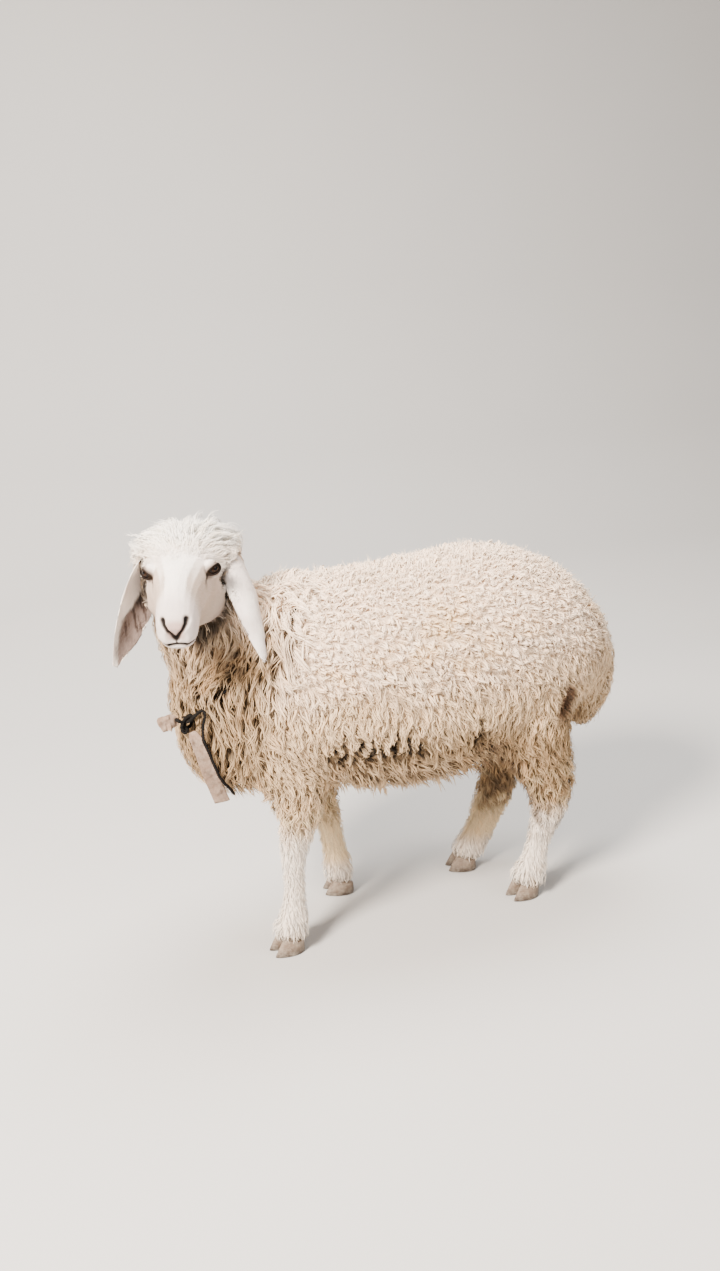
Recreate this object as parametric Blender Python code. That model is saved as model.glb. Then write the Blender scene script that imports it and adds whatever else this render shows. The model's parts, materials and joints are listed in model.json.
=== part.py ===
"""A standing lop-eared sheep in full wool, life size, as closed solids parted by thin cuts.

The outline runs to the tips of the wool. +X is the way the body faces, +Y its left side, +Z up,
and the feet stand on z = 0. Lengths are metres.
"""
import math

import bmesh
import bpy
import numpy as np
from mathutils import Matrix, Vector
from mathutils.bvhtree import BVHTree

# ---- driving dimensions ----
GAP = 0.0003                    # clearance between neighbouring solids
MERGE_DISTANCE = 0.00001
CUT_CLEARANCE = 0.0011          # swell of a cutter made from a neighbour
BODY_SHIFT = Vector((-0.0122, -0.0141, 0.0))   # brings the origin under the middle of the animal

FLEECE_VOXEL = 0.0105           # cell of the remesh that joins trunk, neck, tail and legs
FLEECE_SMOOTHING = 4
FLEECE_TRIANGLES = 2800

HEAD_YAW = math.radians(72.0)   # the head is turned to the animal's left
HEAD_PITCH = math.radians(22.0)
HEAD_TILT = math.radians(1.4)
POLL = Vector((0.350, 0.020, 0.770))

EYE_DIAMETER = 0.027
EYE_FORWARD = 0.088             # from the poll along the head
EYE_SIDE = 0.0475
EYE_DROP = 0.019

CROWN_SQUARENESS = 0.72
FACE_SQUARENESS = 0.88
EAR_LENGTH_STEPS = 11
EAR_ACROSS_STEPS = 6
EAR_THICKNESS = 0.005

LEG_CUT = 0.262                 # heights of the cuts that part the legs
KNEE_CUT = 0.205
HOCK_CUT = 0.195

CLAW_LENGTH = 0.060
CLAW_WIDTH = 0.0255
CLAW_TOE_HEIGHT = 0.036
CLAW_HEEL_HEIGHT = 0.022
CLEFT = 0.003                   # between the two claws of a foot

CORD_DIAMETER = 0.006
COLLAR_SINK = 0.0015            # how deep the cord's middle lies in the wool
COLLAR_POINTS = 30
CORD_END_STEPS = 18

# Outline of the trunk, rump to chest: place along x, top, bottom, half width.
TRUNK = (
    (-0.440, 0.500, 0.445, 0.045),
    (-0.425, 0.540, 0.415, 0.080),
    (-0.385, 0.597, 0.378, 0.115),
    (-0.330, 0.645, 0.345, 0.148),
    (-0.230, 0.682, 0.310, 0.174),
    (-0.120, 0.682, 0.272, 0.186),
    (-0.020, 0.670, 0.266, 0.190),
    (0.080, 0.667, 0.277, 0.184),
    (0.170, 0.661, 0.300, 0.168),
    (0.250, 0.649, 0.296, 0.146),
    (0.318, 0.610, 0.304, 0.118),
    (0.360, 0.560, 0.340, 0.090),
    (0.383, 0.515, 0.400, 0.052),
)

# Limbs, neck and tail, root to end: middle x, y, z, half width, half depth.
NECK = (
    (0.200, 0.000, 0.430, 0.120, 0.150),
    (0.245, 0.002, 0.515, 0.110, 0.140),
    (0.298, 0.009, 0.590, 0.090, 0.110),
    (0.336, 0.015, 0.650, 0.076, 0.086),
    (0.343, 0.018, 0.705, 0.062, 0.060),
)
TAIL = (
    (-0.335, 0.000, 0.560, 0.078, 0.060),
    (-0.385, 0.000, 0.505, 0.086, 0.064),
    (-0.408, 0.000, 0.440, 0.086, 0.058),
    (-0.405, 0.000, 0.380, 0.076, 0.052),
    (-0.396, 0.000, 0.335, 0.054, 0.042),
    (-0.389, 0.000, 0.310, 0.028, 0.022),
)
LEGS = {
    "front_left": (
        (0.205, 0.086, 0.420, 0.060, 0.085),
        (0.200, 0.085, 0.340, 0.052, 0.066),
        (0.197, 0.083, 0.280, 0.039, 0.047),
        (0.204, 0.081, 0.225, 0.028, 0.031),
        (0.211, 0.080, 0.180, 0.0215, 0.0235),
        (0.212, 0.080, 0.130, 0.0190, 0.0210),
        (0.214, 0.080, 0.085, 0.0205, 0.0230),
        (0.219, 0.080, 0.058, 0.0255, 0.0285),
        (0.228, 0.080, 0.030, 0.0270, 0.0290),
        (0.231, 0.080, 0.006, 0.0240, 0.0250),
    ),
    "front_right": (
        (0.190, -0.086, 0.420, 0.060, 0.085),
        (0.155, -0.087, 0.335, 0.050, 0.064),
        (0.124, -0.087, 0.275, 0.039, 0.050),
        (0.104, -0.087, 0.225, 0.031, 0.038),
        (0.093, -0.087, 0.175, 0.0250, 0.0285),
        (0.085, -0.087, 0.125, 0.0215, 0.0250),
        (0.079, -0.087, 0.085, 0.0220, 0.0255),
        (0.075, -0.087, 0.058, 0.0255, 0.0290),
        (0.075, -0.087, 0.030, 0.0270, 0.0295),
        (0.076, -0.087, 0.006, 0.0240, 0.0250),
    ),
    "hind_left": (
        (-0.240, 0.088, 0.440, 0.075, 0.095),
        (-0.252, 0.091, 0.360, 0.066, 0.080),
        (-0.280, 0.089, 0.285, 0.051, 0.057),
        (-0.301, 0.085, 0.215, 0.036, 0.042),
        (-0.295, 0.080, 0.165, 0.0270, 0.0330),
        (-0.281, 0.077, 0.115, 0.0215, 0.0245),
        (-0.272, 0.075, 0.080, 0.0225, 0.0245),
        (-0.266, 0.075, 0.055, 0.0265, 0.0295),
        (-0.254, 0.075, 0.030, 0.0275, 0.0300),
        (-0.248, 0.075, 0.006, 0.0240, 0.0250),
    ),
    "hind_right": (
        (-0.240, -0.088, 0.440, 0.075, 0.095),
        (-0.258, -0.091, 0.350, 0.062, 0.080),
        (-0.276, -0.088, 0.280, 0.049, 0.058),
        (-0.282, -0.085, 0.215, 0.037, 0.048),
        (-0.267, -0.082, 0.160, 0.0300, 0.0430),
        (-0.247, -0.079, 0.113, 0.0255, 0.0370),
        (-0.228, -0.077, 0.077, 0.0245, 0.0310),
        (-0.212, -0.076, 0.053, 0.0270, 0.0305),
        (-0.198, -0.076, 0.030, 0.0280, 0.0305),
        (-0.190, -0.076, 0.006, 0.0240, 0.0250),
    ),
}
# Each foot's middle on the floor, x, and how far its toes turn outward.
FEET = {
    "front_left": (0.233, math.radians(8.0)),
    "front_right": (0.076, math.radians(-8.0)),
    "hind_left": (-0.246, math.radians(8.0)),
    "hind_right": (-0.186, math.radians(-10.0)),
}

# Head in its own axes, nape to nose: forward, top, bottom, half width above, half width below.
HEAD = (
    (-0.070, -0.036, -0.080, 0.045, 0.034),
    (-0.054, -0.016, -0.118, 0.072, 0.048),
    (-0.024, -0.003, -0.140, 0.101, 0.055),
    (0.008, 0.008, -0.153, 0.107, 0.057),
    (0.034, 0.011, -0.156, 0.098, 0.059),
    (0.060, 0.010, -0.148, 0.074, 0.057),
    (0.086, 0.010, -0.132, 0.0600, 0.052),
    (0.115, 0.011, -0.113, 0.0480, 0.044),
    (0.145, 0.012, -0.097, 0.0385, 0.0360),
    (0.175, 0.010, -0.084, 0.0345, 0.0315),
    (0.202, 0.003, -0.078, 0.0335, 0.0305),
    (0.220, -0.008, -0.073, 0.0300, 0.0270),
    (0.231, -0.024, -0.062, 0.0190, 0.0180),
)


class Ear:
    """Sizes of one hanging ear."""

    def __init__(self, root, tip, roll, reach, width, curl):
        self.root = Vector(root)    # where it starts, in the head's own axes
        self.tip = Vector(tip)      # where the tip hangs
        self.roll = roll            # turn of its outer face, forwards positive
        self.reach = reach          # how far it stands out before it hangs
        self.width = width          # share of the usual width
        self.curl = curl            # share of the usual curl


EARS = {
    "ear_left": Ear((0.024, 0.064, -0.026), (0.2605, 0.150, 0.568), math.radians(42.0),
                    0.034, 1.0, 1.0),
    "ear_right": Ear((0.024, -0.056, -0.032), (0.486, 0.062, 0.568), math.radians(-48.0),
                     0.016, 1.08, 0.90),
}
# Along the ear: share of the length, half width, half angle of its curl.
EAR_SHAPE = (
    (0.00, 0.018, 70.0),
    (0.12, 0.027, 74.0),
    (0.30, 0.035, 66.0),
    (0.50, 0.0365, 58.0),
    (0.70, 0.032, 50.0),
    (0.86, 0.022, 42.0),
    (0.96, 0.011, 30.0),
    (1.00, 0.004, 20.0),
)

# Worn pieces at the throat: the knot, and the routes of the strap, the scrap and the cord's end.
KNOT_PLACE = Vector((0.3835, 0.0705, 0.459))
KNOT_SIZE = Vector((0.012, 0.010, 0.015))
LEATHER_FACING = Vector((0.35, 0.90, 0.10)).normalized()
STRAP_ROUTE = ((0.374, 0.086, 0.447), (0.364, 0.094, 0.418), (0.354, 0.093, 0.380),
               (0.342, 0.085, 0.342), (0.330, 0.075, 0.308))
STRAP_WIDTH = 0.025
SCRAP_ROUTE = ((0.394, 0.067, 0.458), (0.404, 0.071, 0.463), (0.415, 0.071, 0.462),
               (0.424, 0.068, 0.456))
SCRAP_WIDTH = 0.028
LEATHER_THICKNESS = 0.003
CORD_END_ROUTE = (
    (0.380, 0.077, 0.461), (0.374, 0.083, 0.467), (0.368, 0.090, 0.475), (0.362, 0.095, 0.483),
    (0.357, 0.099, 0.486), (0.354, 0.102, 0.480), (0.356, 0.102, 0.469), (0.359, 0.101, 0.457),
    (0.360, 0.102, 0.446), (0.360, 0.104, 0.434), (0.356, 0.106, 0.422), (0.352, 0.107, 0.410),
    (0.348, 0.107, 0.396), (0.343, 0.106, 0.382), (0.338, 0.103, 0.367), (0.329, 0.098, 0.351),
    (0.318, 0.087, 0.335), (0.309, 0.076, 0.319),
)


# ---- helpers ----
def clear_scene():
    """Remove whatever the open file holds."""
    for obj in list(bpy.data.objects):
        bpy.data.objects.remove(obj, do_unlink=True)


def material(name, color, roughness, metallic=0.0):
    """A plain Principled material."""
    result = bpy.data.materials.new(name)
    result.use_nodes = True
    shader = result.node_tree.nodes["Principled BSDF"]
    shader.inputs["Base Color"].default_value = (*color, 1.0)
    shader.inputs["Roughness"].default_value = roughness
    shader.inputs["Metallic"].default_value = metallic
    return result


def object_from(name, vertices, faces):
    """An object in the scene from vertices and faces, with its normals pointing out."""
    mesh = bpy.data.meshes.new(name)
    mesh.from_pydata([tuple(v) for v in vertices], [], faces)
    work = bmesh.new()
    work.from_mesh(mesh)
    bmesh.ops.recalc_face_normals(work, faces=work.faces)
    work.to_mesh(mesh)
    work.free()
    return linked(name, mesh)


def remove(*objects):
    """Delete objects that have done their work."""
    for obj in objects:
        bpy.data.objects.remove(obj, do_unlink=True)


def bake_modifiers(obj):
    """Replace an object's mesh by what its modifiers make of it."""
    mesh = mesh_of(obj)
    obj.modifiers.clear()
    obj.data = mesh


def boolean(target, cutter, operation, solver="EXACT"):
    """Apply one Boolean to the target."""
    step = target.modifiers.new("boolean", "BOOLEAN")
    step.operation = operation
    step.object = cutter
    step.solver = solver
    bake_modifiers(target)


def mesh_of(obj):
    """A fresh mesh of what an object looks like now."""
    graph = bpy.context.evaluated_depsgraph_get()
    return bpy.data.meshes.new_from_object(obj.evaluated_get(graph))


def linked(name, data):
    """A new object in the scene."""
    obj = bpy.data.objects.new(name, data)
    bpy.context.scene.collection.objects.link(obj)
    return obj


def curve_through(rows, steps):
    """Rows of a Catmull-Rom curve through the given rows, evenly spaced in their number."""
    points = np.array(rows, dtype=float)
    padded = np.vstack([2 * points[0] - points[1], points, 2 * points[-1] - points[-2]])
    result = []
    for place in np.linspace(0.0, len(points) - 1, steps):
        index = min(int(place), len(points) - 2)
        t = place - index
        a, b, c, d = padded[index:index + 4]
        result.append(0.5 * (2 * b + (c - a) * t + (2 * a - 5 * b + 4 * c - d) * t ** 2
                             + (3 * b - a - 3 * c + d) * t ** 3))
    return result


def signed_power(value, power):
    """The power of a number with its sign kept."""
    return math.copysign(abs(value) ** power, value)


def loft(name, rings):
    """A closed solid through rings of equal count, with a fan over each end."""
    count = len(rings[0])
    vertices = [point for ring in rings for point in ring]
    faces = []
    for row in range(len(rings) - 1):
        for k in range(count):
            after = (k + 1) % count
            faces.append((row * count + k, row * count + after,
                          (row + 1) * count + after, (row + 1) * count + k))
    for row in (0, len(rings) - 1):
        middle = sum((Vector(p) for p in rings[row]), Vector()) / count
        vertices.append(middle)
        for k in range(count):
            faces.append((row * count + k, row * count + (k + 1) % count, len(vertices) - 1))
    return object_from(name, vertices, faces)


def oriented_box(name, middle, size, turn=None):
    """A box with its middle and full sizes, turned by a matrix."""
    mesh = bpy.data.meshes.new(name)
    work = bmesh.new()
    bmesh.ops.create_cube(work, size=1.0)
    place = Matrix.Translation(middle) @ (turn or Matrix()) @ Matrix.Diagonal((*size, 1.0))
    work.transform(place)
    work.to_mesh(mesh)
    work.free()
    return linked(name, mesh)


def part_off(body, name, middle, size, turn=None):
    """Cut the piece inside a box off the body, with the gap between the two."""
    inside = oriented_box("cutter", middle, size, turn)
    wider = oriented_box("cutter", middle, Vector(size) + Vector((1, 1, 1)) * 2 * GAP, turn)
    piece = linked(name, mesh_of(body))
    boolean(piece, inside, "INTERSECT")
    boolean(body, wider, "DIFFERENCE")
    remove(inside, wider)
    return piece


# ---- body ----
def trunk_loft():
    """The barrel of the body from rump to chest."""
    rings = []
    for x, top, bottom, half in curve_through(TRUNK, 34):
        middle, rise = (top + bottom) / 2, (top - bottom) / 2
        ring = []
        for k in range(32):
            angle = math.tau * k / 32
            y = half * signed_power(math.cos(angle), 0.86)
            ring.append((x, y, middle + rise * signed_power(math.sin(angle), 0.90)))
        rings.append(ring)
    return loft("trunk_loft", rings)


def limb_loft(name, stations, steps):
    """A limb round a bent middle line, its rings square to that line."""
    rows = curve_through(stations, steps)
    rings = []
    for index, row in enumerate(rows):
        before, after = rows[max(index - 1, 0)], rows[min(index + 1, len(rows) - 1)]
        along = Vector(after[:3] - before[:3]).normalized()
        side = (Vector((0, 1, 0)) - along * along.y).normalized()
        front = side.cross(along)
        middle = Vector(row[:3])
        rings.append([middle + side * row[3] * math.cos(math.tau * k / 20)
                      + front * row[4] * math.sin(math.tau * k / 20) for k in range(20)])
    return loft(name, rings)


def fleece_body():
    """Trunk, neck, tail and legs as one closed mesh."""
    pieces = [trunk_loft(), limb_loft("neck_loft", NECK, 14), limb_loft("tail_loft", TAIL, 14)]
    pieces += [limb_loft(f"{name}_loft", rows, 30) for name, rows in LEGS.items()]
    joined = bmesh.new()
    for piece in pieces:
        joined.from_mesh(piece.data)
    mesh = bpy.data.meshes.new("fleece")
    joined.to_mesh(mesh)
    joined.free()
    remove(*pieces)
    body = linked("fleece", mesh)

    remesh = body.modifiers.new("remesh", "REMESH")
    remesh.mode = "VOXEL"
    remesh.voxel_size = FLEECE_VOXEL
    smooth = body.modifiers.new("smooth", "SMOOTH")
    smooth.factor = 0.5
    smooth.iterations = FLEECE_SMOOTHING
    bake_modifiers(body)
    thin = body.modifiers.new("thin", "DECIMATE")
    body.data.calc_loop_triangles()
    thin.ratio = FLEECE_TRIANGLES / len(body.data.loop_triangles)
    bake_modifiers(body)
    return body


# ---- head ----
def head_matrix():
    """Head axes (forward, left, up from the poll) to body axes."""
    return (Matrix.Translation(POLL) @ Matrix.Rotation(HEAD_YAW, 4, "Z")
            @ Matrix.Rotation(HEAD_PITCH, 4, "Y") @ Matrix.Rotation(HEAD_TILT, 4, "X"))


def head_loft():
    """The head with its crown wool, cheeks and muzzle."""
    place = head_matrix()
    rings = []
    for forward, top, bottom, upper, lower in curve_through(HEAD, 23):
        middle, rise = (top + bottom) / 2, (top - bottom) / 2
        power = np.interp(forward, (-0.030, 0.060), (CROWN_SQUARENESS, FACE_SQUARENESS))
        ring = []
        for k in range(22):
            angle = math.tau * k / 22
            share = 0.5 + 0.5 * math.sin(angle)
            half = lower + (upper - lower) * share ** 0.8
            ring.append(place @ Vector((forward, half * signed_power(math.cos(angle), power),
                                        middle + rise * signed_power(math.sin(angle), power))))
        rings.append(ring)
    return loft("head", rings)


def eye_place(side):
    """The middle of an eyeball."""
    return head_matrix() @ Vector((EYE_FORWARD, side * EYE_SIDE, -EYE_DROP))


def eyeball(name, side, radius):
    """A round eyeball."""
    mesh = bpy.data.meshes.new(name)
    work = bmesh.new()
    bmesh.ops.create_icosphere(work, subdivisions=2, radius=radius)
    work.transform(Matrix.Translation(eye_place(side)))
    work.to_mesh(mesh)
    work.free()
    return linked(name, mesh)


def ear_solid(name, ear):
    """A long hanging ear, curled like a gutter, with its root sunk in the head."""
    place = head_matrix()
    outward = (place.to_3x3() @ Vector((0, math.copysign(1.0, ear.root.y), 0))).normalized()
    ahead = place.to_3x3() @ Vector((1, 0, 0))
    ahead = Vector((ahead.x, ahead.y, 0)).normalized()
    root = place @ ear.root
    bend = root + outward * ear.reach + Vector((0, 0, -0.022))
    face = (outward * math.cos(ear.roll) + ahead * math.sin(ear.roll)).normalized()
    outer, inner = [], []
    for s in np.linspace(0.0, 1.0, EAR_LENGTH_STEPS + 1):
        middle = root * (1 - s) ** 2 + bend * 2 * s * (1 - s) + ear.tip * s ** 2
        along = ((bend - root) * (1 - s) + (ear.tip - bend) * s).normalized()
        normal = (face - along * face.dot(along)).normalized()
        across = along.cross(normal)
        shares = [row[0] for row in EAR_SHAPE]
        half = ear.width * np.interp(s, shares, [row[1] for row in EAR_SHAPE])
        curl = ear.curl * math.radians(np.interp(s, shares, [row[2] for row in EAR_SHAPE]))
        radius = half / curl
        for t in np.linspace(-curl, curl, EAR_ACROSS_STEPS + 1):
            arc = across * math.sin(t) + normal * math.cos(t)
            edge = 1.0 - 0.65 * (abs(t) / curl) ** 4
            thick = EAR_THICKNESS * edge * (1.0 - 0.45 * s)
            centre = middle - normal * radius
            outer.append(centre + arc * (radius + thick / 2))
            inner.append(centre + arc * (radius - thick / 2))
    return closed_sheet(name, outer, inner, EAR_LENGTH_STEPS + 1, EAR_ACROSS_STEPS + 1)


def closed_sheet(name, front, back, rows, columns):
    """Two grids of points, front and back, closed round their edges."""
    offset = len(front)
    faces = []
    for r in range(rows - 1):
        for c in range(columns - 1):
            a, b = r * columns + c, r * columns + c + 1
            d, e = a + columns, b + columns
            faces += [(a, b, e, d), (offset + a, offset + d, offset + e, offset + b)]
    rim = [c for c in range(columns)]
    rim += [r * columns + columns - 1 for r in range(1, rows)]
    rim += [(rows - 1) * columns + c for c in range(columns - 2, -1, -1)]
    rim += [r * columns for r in range(rows - 2, 0, -1)]
    for k, a in enumerate(rim):
        b = rim[(k + 1) % len(rim)]
        faces.append((a, offset + a, offset + b, b))
    return object_from(name, front + back, faces)


# ---- feet ----
def foot_frame(leg):
    """Foot axes (toes, left, up) at the foot's middle on the floor."""
    x, turn = FEET[leg]
    y = LEGS[leg][-1][1]
    return Matrix.Translation((x, y, 0.0)) @ Matrix.Rotation(turn, 4, "Z")


def coronet_angle():
    """Slope of the line where hair meets horn."""
    return math.atan((CLAW_TOE_HEIGHT - CLAW_HEEL_HEIGHT) / CLAW_LENGTH)


def claw(name, leg, side):
    """One half of a cloven hoof, flat underneath, its toe wall sloping."""
    place = foot_frame(leg)
    rings = []
    for level in (0.0, 0.12, 0.55, 1.0):
        ring = []
        for k in range(12):
            angle = math.tau * k / 12
            toe = math.cos(angle)
            length = CLAW_LENGTH / 2 * (1.0 - 0.02 * level - (0.04 if level == 0.0 else 0.0))
            setback = 0.010 * level * (1.0 + toe)
            x = toe * length - setback * 0.9
            taper = 1.0 - 0.30 * toe - 0.12 * toe * toe
            outer = CLAW_WIDTH / 2 * taper * (1.0 - 0.06 * level)
            y = outer * math.sin(angle)
            if y * side < 0.0:
                y *= 0.86
            share = (x / CLAW_LENGTH) + 0.5
            top = CLAW_HEEL_HEIGHT + (CLAW_TOE_HEIGHT - CLAW_HEEL_HEIGHT) * share
            middle = side * (CLAW_WIDTH * 0.47 + CLEFT / 2)
            ring.append(place @ Vector((x, middle + y, (top - GAP) * level)))
        rings.append(ring)
    return loft(name, rings)


def trim_foot(lower_leg, leg):
    """Cut a lower leg off above its claws, along the coronet."""
    height = (CLAW_TOE_HEIGHT + CLAW_HEEL_HEIGHT) / 2 + GAP
    turn = Matrix.Rotation(-coronet_angle(), 4, "Y")
    frame = foot_frame(leg)
    middle = frame @ Vector((0, 0, height)) + (frame.to_3x3() @ turn.to_3x3()) @ Vector((0, 0, -0.05))
    cutter = oriented_box("cutter", middle, (0.2, 0.12, 0.1), frame.to_3x3().to_4x4() @ turn)
    boolean(lower_leg, cutter, "DIFFERENCE")
    remove(cutter)


# ---- collar ----
def ring_tube(name, points, radius, sides=6):
    """A plain tube round a closed ring of points."""
    count = len(points)
    vertices, faces = [], []
    for index, point in enumerate(points):
        along = (points[(index + 1) % count] - points[index - 1]).normalized()
        side = along.cross(Vector((0, 0, 1))).normalized()
        lift = side.cross(along)
        for k in range(sides):
            angle = math.tau * k / sides
            vertices.append(point + (side * math.cos(angle) + lift * math.sin(angle)) * radius)
            after = (k + 1) % sides
            following = (index + 1) % count
            faces.append((index * sides + k, index * sides + after,
                          following * sides + after, following * sides + k))
    return object_from(name, vertices, faces)


def cord_tube(name, route, radius, steps):
    """A free length of cord along a smooth curve through its route's points."""
    curve = bpy.data.curves.new(name, "CURVE")
    curve.dimensions = "3D"
    curve.bevel_depth = radius
    curve.bevel_resolution = 2
    curve.use_fill_caps = True
    spline = curve.splines.new("POLY")
    spline.points.add(steps - 1)
    for point, place in zip(spline.points, curve_through(route, steps)):
        point.co = (*place, 1.0)
    return linked(name, curve)


def collar_route(body):
    """The collar's round: points on the wool where a slanting plane meets the neck."""
    middle = Vector((0.287, 0.005, 0.541))
    lean = math.radians(48.0)
    ahead = Vector((math.sin(lean), 0, -math.cos(lean)))
    side = Vector((0, 1, 0))
    tree = BVHTree.FromObject(body, bpy.context.evaluated_depsgraph_get())
    points = []
    for k in range(COLLAR_POINTS):
        angle = math.tau * k / COLLAR_POINTS
        ray = ahead * math.cos(angle) + side * math.sin(angle)
        start = middle + ray * 0.4
        hit = tree.ray_cast(start, -ray)
        points.append(hit[0] - ray * COLLAR_SINK)
    smooth = []
    for k in range(COLLAR_POINTS):
        smooth.append((points[k - 1] + points[k] * 2 + points[(k + 1) % COLLAR_POINTS]) / 4)
    return smooth


def flat_strip(name, route, width, steps):
    """A flat strip of leather along a route."""
    rows = [Vector(row) for row in curve_through(route, steps)]
    front, back = [], []
    for index, middle in enumerate(rows):
        before, after = rows[max(index - 1, 0)], rows[min(index + 1, steps - 1)]
        along = (after - before).normalized()
        normal = (LEATHER_FACING - along * LEATHER_FACING.dot(along)).normalized()
        across = along.cross(normal)
        for t in (-0.5, -0.17, 0.17, 0.5):
            place = middle + across * t * width
            front.append(place + normal * LEATHER_THICKNESS / 2)
            back.append(place - normal * LEATHER_THICKNESS / 2)
    return closed_sheet(name, front, back, steps, 4)


def knot_solid():
    """The lump where the cord is tied."""
    mesh = bpy.data.meshes.new("collar_knot")
    work = bmesh.new()
    bmesh.ops.create_icosphere(work, subdivisions=2, radius=1.0)
    work.transform(Matrix.Translation(KNOT_PLACE) @ Matrix.Diagonal((*KNOT_SIZE, 1.0)))
    work.to_mesh(mesh)
    work.free()
    return linked("collar_knot", mesh)


# ---- assembly ----
def cut_clear(target, tool, solver="EXACT"):
    """Cut a slightly swollen copy of one solid out of another."""
    cutter = linked("cutter", mesh_of(tool))
    work = bmesh.new()
    work.from_mesh(cutter.data)
    bmesh.ops.remove_doubles(work, verts=work.verts, dist=MERGE_DISTANCE)
    bmesh.ops.recalc_face_normals(work, faces=work.faces)
    work.normal_update()
    for vertex in work.verts:
        vertex.co += vertex.normal * CUT_CLEARANCE
    work.to_mesh(cutter.data)
    work.free()
    boolean(target, cutter, "DIFFERENCE", solver)
    remove(cutter)


def part_body(body):
    """Part the joined body into its named nodes."""
    nodes = {}
    for leg, rows in LEGS.items():
        front = leg.startswith("front")
        joint = KNEE_CUT if front else HOCK_CUT
        y = rows[0][1]
        x = rows[3][0]
        whole = part_off(body, f"leg_{leg}_upper", (x, math.copysign(0.1015, y), LEG_CUT / 2 - 0.05),
                         (0.24, 0.20, LEG_CUT + 0.1))
        lower = part_off(whole, f"leg_{leg}_lower", (x, math.copysign(0.1015, y), joint / 2 - 0.05),
                         (0.40, 0.22, joint + 0.1))
        trim_foot(lower, leg)
        nodes[whole.name] = whole
        nodes[lower.name] = lower
    tilt = Matrix.Rotation(math.radians(-8.0), 4, "Y")
    nodes["tail"] = part_off(body, "tail", (-0.470, 0.0, 0.440), (0.150, 0.180, 0.290), tilt)
    lean = Matrix.Rotation(math.radians(-42.0), 4, "Y")
    middle = Vector((0.275, 0.0, 0.540)) + lean.to_3x3() @ Vector((0.15, 0.0, 0.0))
    nodes["neck"] = part_off(body, "neck", middle, (0.30, 0.40, 0.44), lean)
    body.name = "trunk"
    nodes["trunk"] = body
    return nodes


def keep_largest(obj):
    """Drop the slivers that a cut left beside a solid."""
    work = bmesh.new()
    work.from_mesh(obj.data)
    bmesh.ops.remove_doubles(work, verts=work.verts, dist=MERGE_DISTANCE)
    waiting = set(work.verts)
    islands = []
    while waiting:
        stack = [waiting.pop()]
        island = []
        while stack:
            vertex = stack.pop()
            island.append(vertex)
            for edge in vertex.link_edges:
                other = edge.other_vert(vertex)
                if other in waiting:
                    waiting.remove(other)
                    stack.append(other)
        islands.append(island)
    islands.sort(key=len)
    for island in islands[:-1]:
        bmesh.ops.delete(work, geom=island, context="VERTS")
    work.to_mesh(obj.data)
    work.free()


def build():
    """Make every solid of the sheep."""
    clear_scene()
    wool = material("wool", (0.72, 0.62, 0.48), 0.95)
    face_hair = material("face_hair", (0.82, 0.77, 0.72), 0.85)
    leg_hair = material("leg_hair", (0.78, 0.70, 0.60), 0.85)
    horn = material("hoof_horn", (0.24, 0.20, 0.17), 0.60)
    eye = material("eye", (0.08, 0.05, 0.03), 0.08)
    cord = material("cord", (0.03, 0.03, 0.03), 0.70)
    leather = material("leather", (0.55, 0.45, 0.36), 0.85)

    body = fleece_body()
    head = head_loft()

    ring = ring_tube("collar_cord", collar_route(body), CORD_DIAMETER / 2)
    nodes = part_body(body)
    cut_clear(nodes["neck"], head)
    for host in ("neck", "trunk"):
        cut_clear(nodes[host], ring, "MANIFOLD")
    nodes["head"] = head
    nodes["collar_cord"] = ring
    for side, label in ((1.0, "left"), (-1.0, "right")):
        ball = eyeball(f"eye_{label}", side, EYE_DIAMETER / 2)
        cut_clear(nodes["head"], ball)
        nodes[ball.name] = ball
    for name, sizes in EARS.items():
        nodes[name] = ear_solid(name, sizes)
        cut_clear(nodes["head"], nodes[name])
        cut_clear(nodes["neck"], nodes[name], "MANIFOLD")
    for leg in LEGS:
        for side, label in ((1.0, "left"), (-1.0, "right")):
            name = f"claw_{leg}_{label}"
            nodes[name] = claw(name, leg, side)

    knot = knot_solid()
    strap = flat_strip("collar_strap", STRAP_ROUTE, STRAP_WIDTH, 9)
    scrap = flat_strip("collar_scrap", SCRAP_ROUTE, SCRAP_WIDTH, 6)
    end = cord_tube("collar_cord_end", CORD_END_ROUTE, CORD_DIAMETER / 2, CORD_END_STEPS)
    for piece in (knot, strap, scrap, end):
        nodes[piece.name] = piece
    for piece in (nodes["neck"], nodes["trunk"], ring, strap, scrap):
        cut_clear(piece, knot, "MANIFOLD")
    cut_clear(knot, end)
    cut_clear(ring, end)
    cut_clear(strap, ring)
    cut_clear(scrap, strap)

    looks = {"head": face_hair, "ear": face_hair, "eye": eye, "claw": horn, "leg": leg_hair,
             "collar_strap": leather, "collar_scrap": leather, "collar": cord}
    for name, obj in nodes.items():
        if obj.type == "MESH":
            keep_largest(obj)
            obj.data.shade_smooth()
        obj.data.transform(Matrix.Translation(BODY_SHIFT))
        chosen = next((look for start, look in looks.items() if name.startswith(start)), wool)
        obj.data.materials.clear()
        obj.data.materials.append(chosen)


build()
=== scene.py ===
"""A life-size fat-tailed, lop-eared sheep in full fleece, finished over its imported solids."""
import json
import logging
import math
from contextlib import contextmanager
from dataclasses import dataclass, replace
from enum import Enum, IntEnum
from typing import Iterator, Sequence

import bmesh
import bpy
import numpy as np
from bpy.types import Material, Mesh, Node, NodeSocket, NodeTree, Object
from mathutils import Matrix, Vector
from mathutils.bvhtree import BVHTree
from mathutils.kdtree import KDTree

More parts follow.
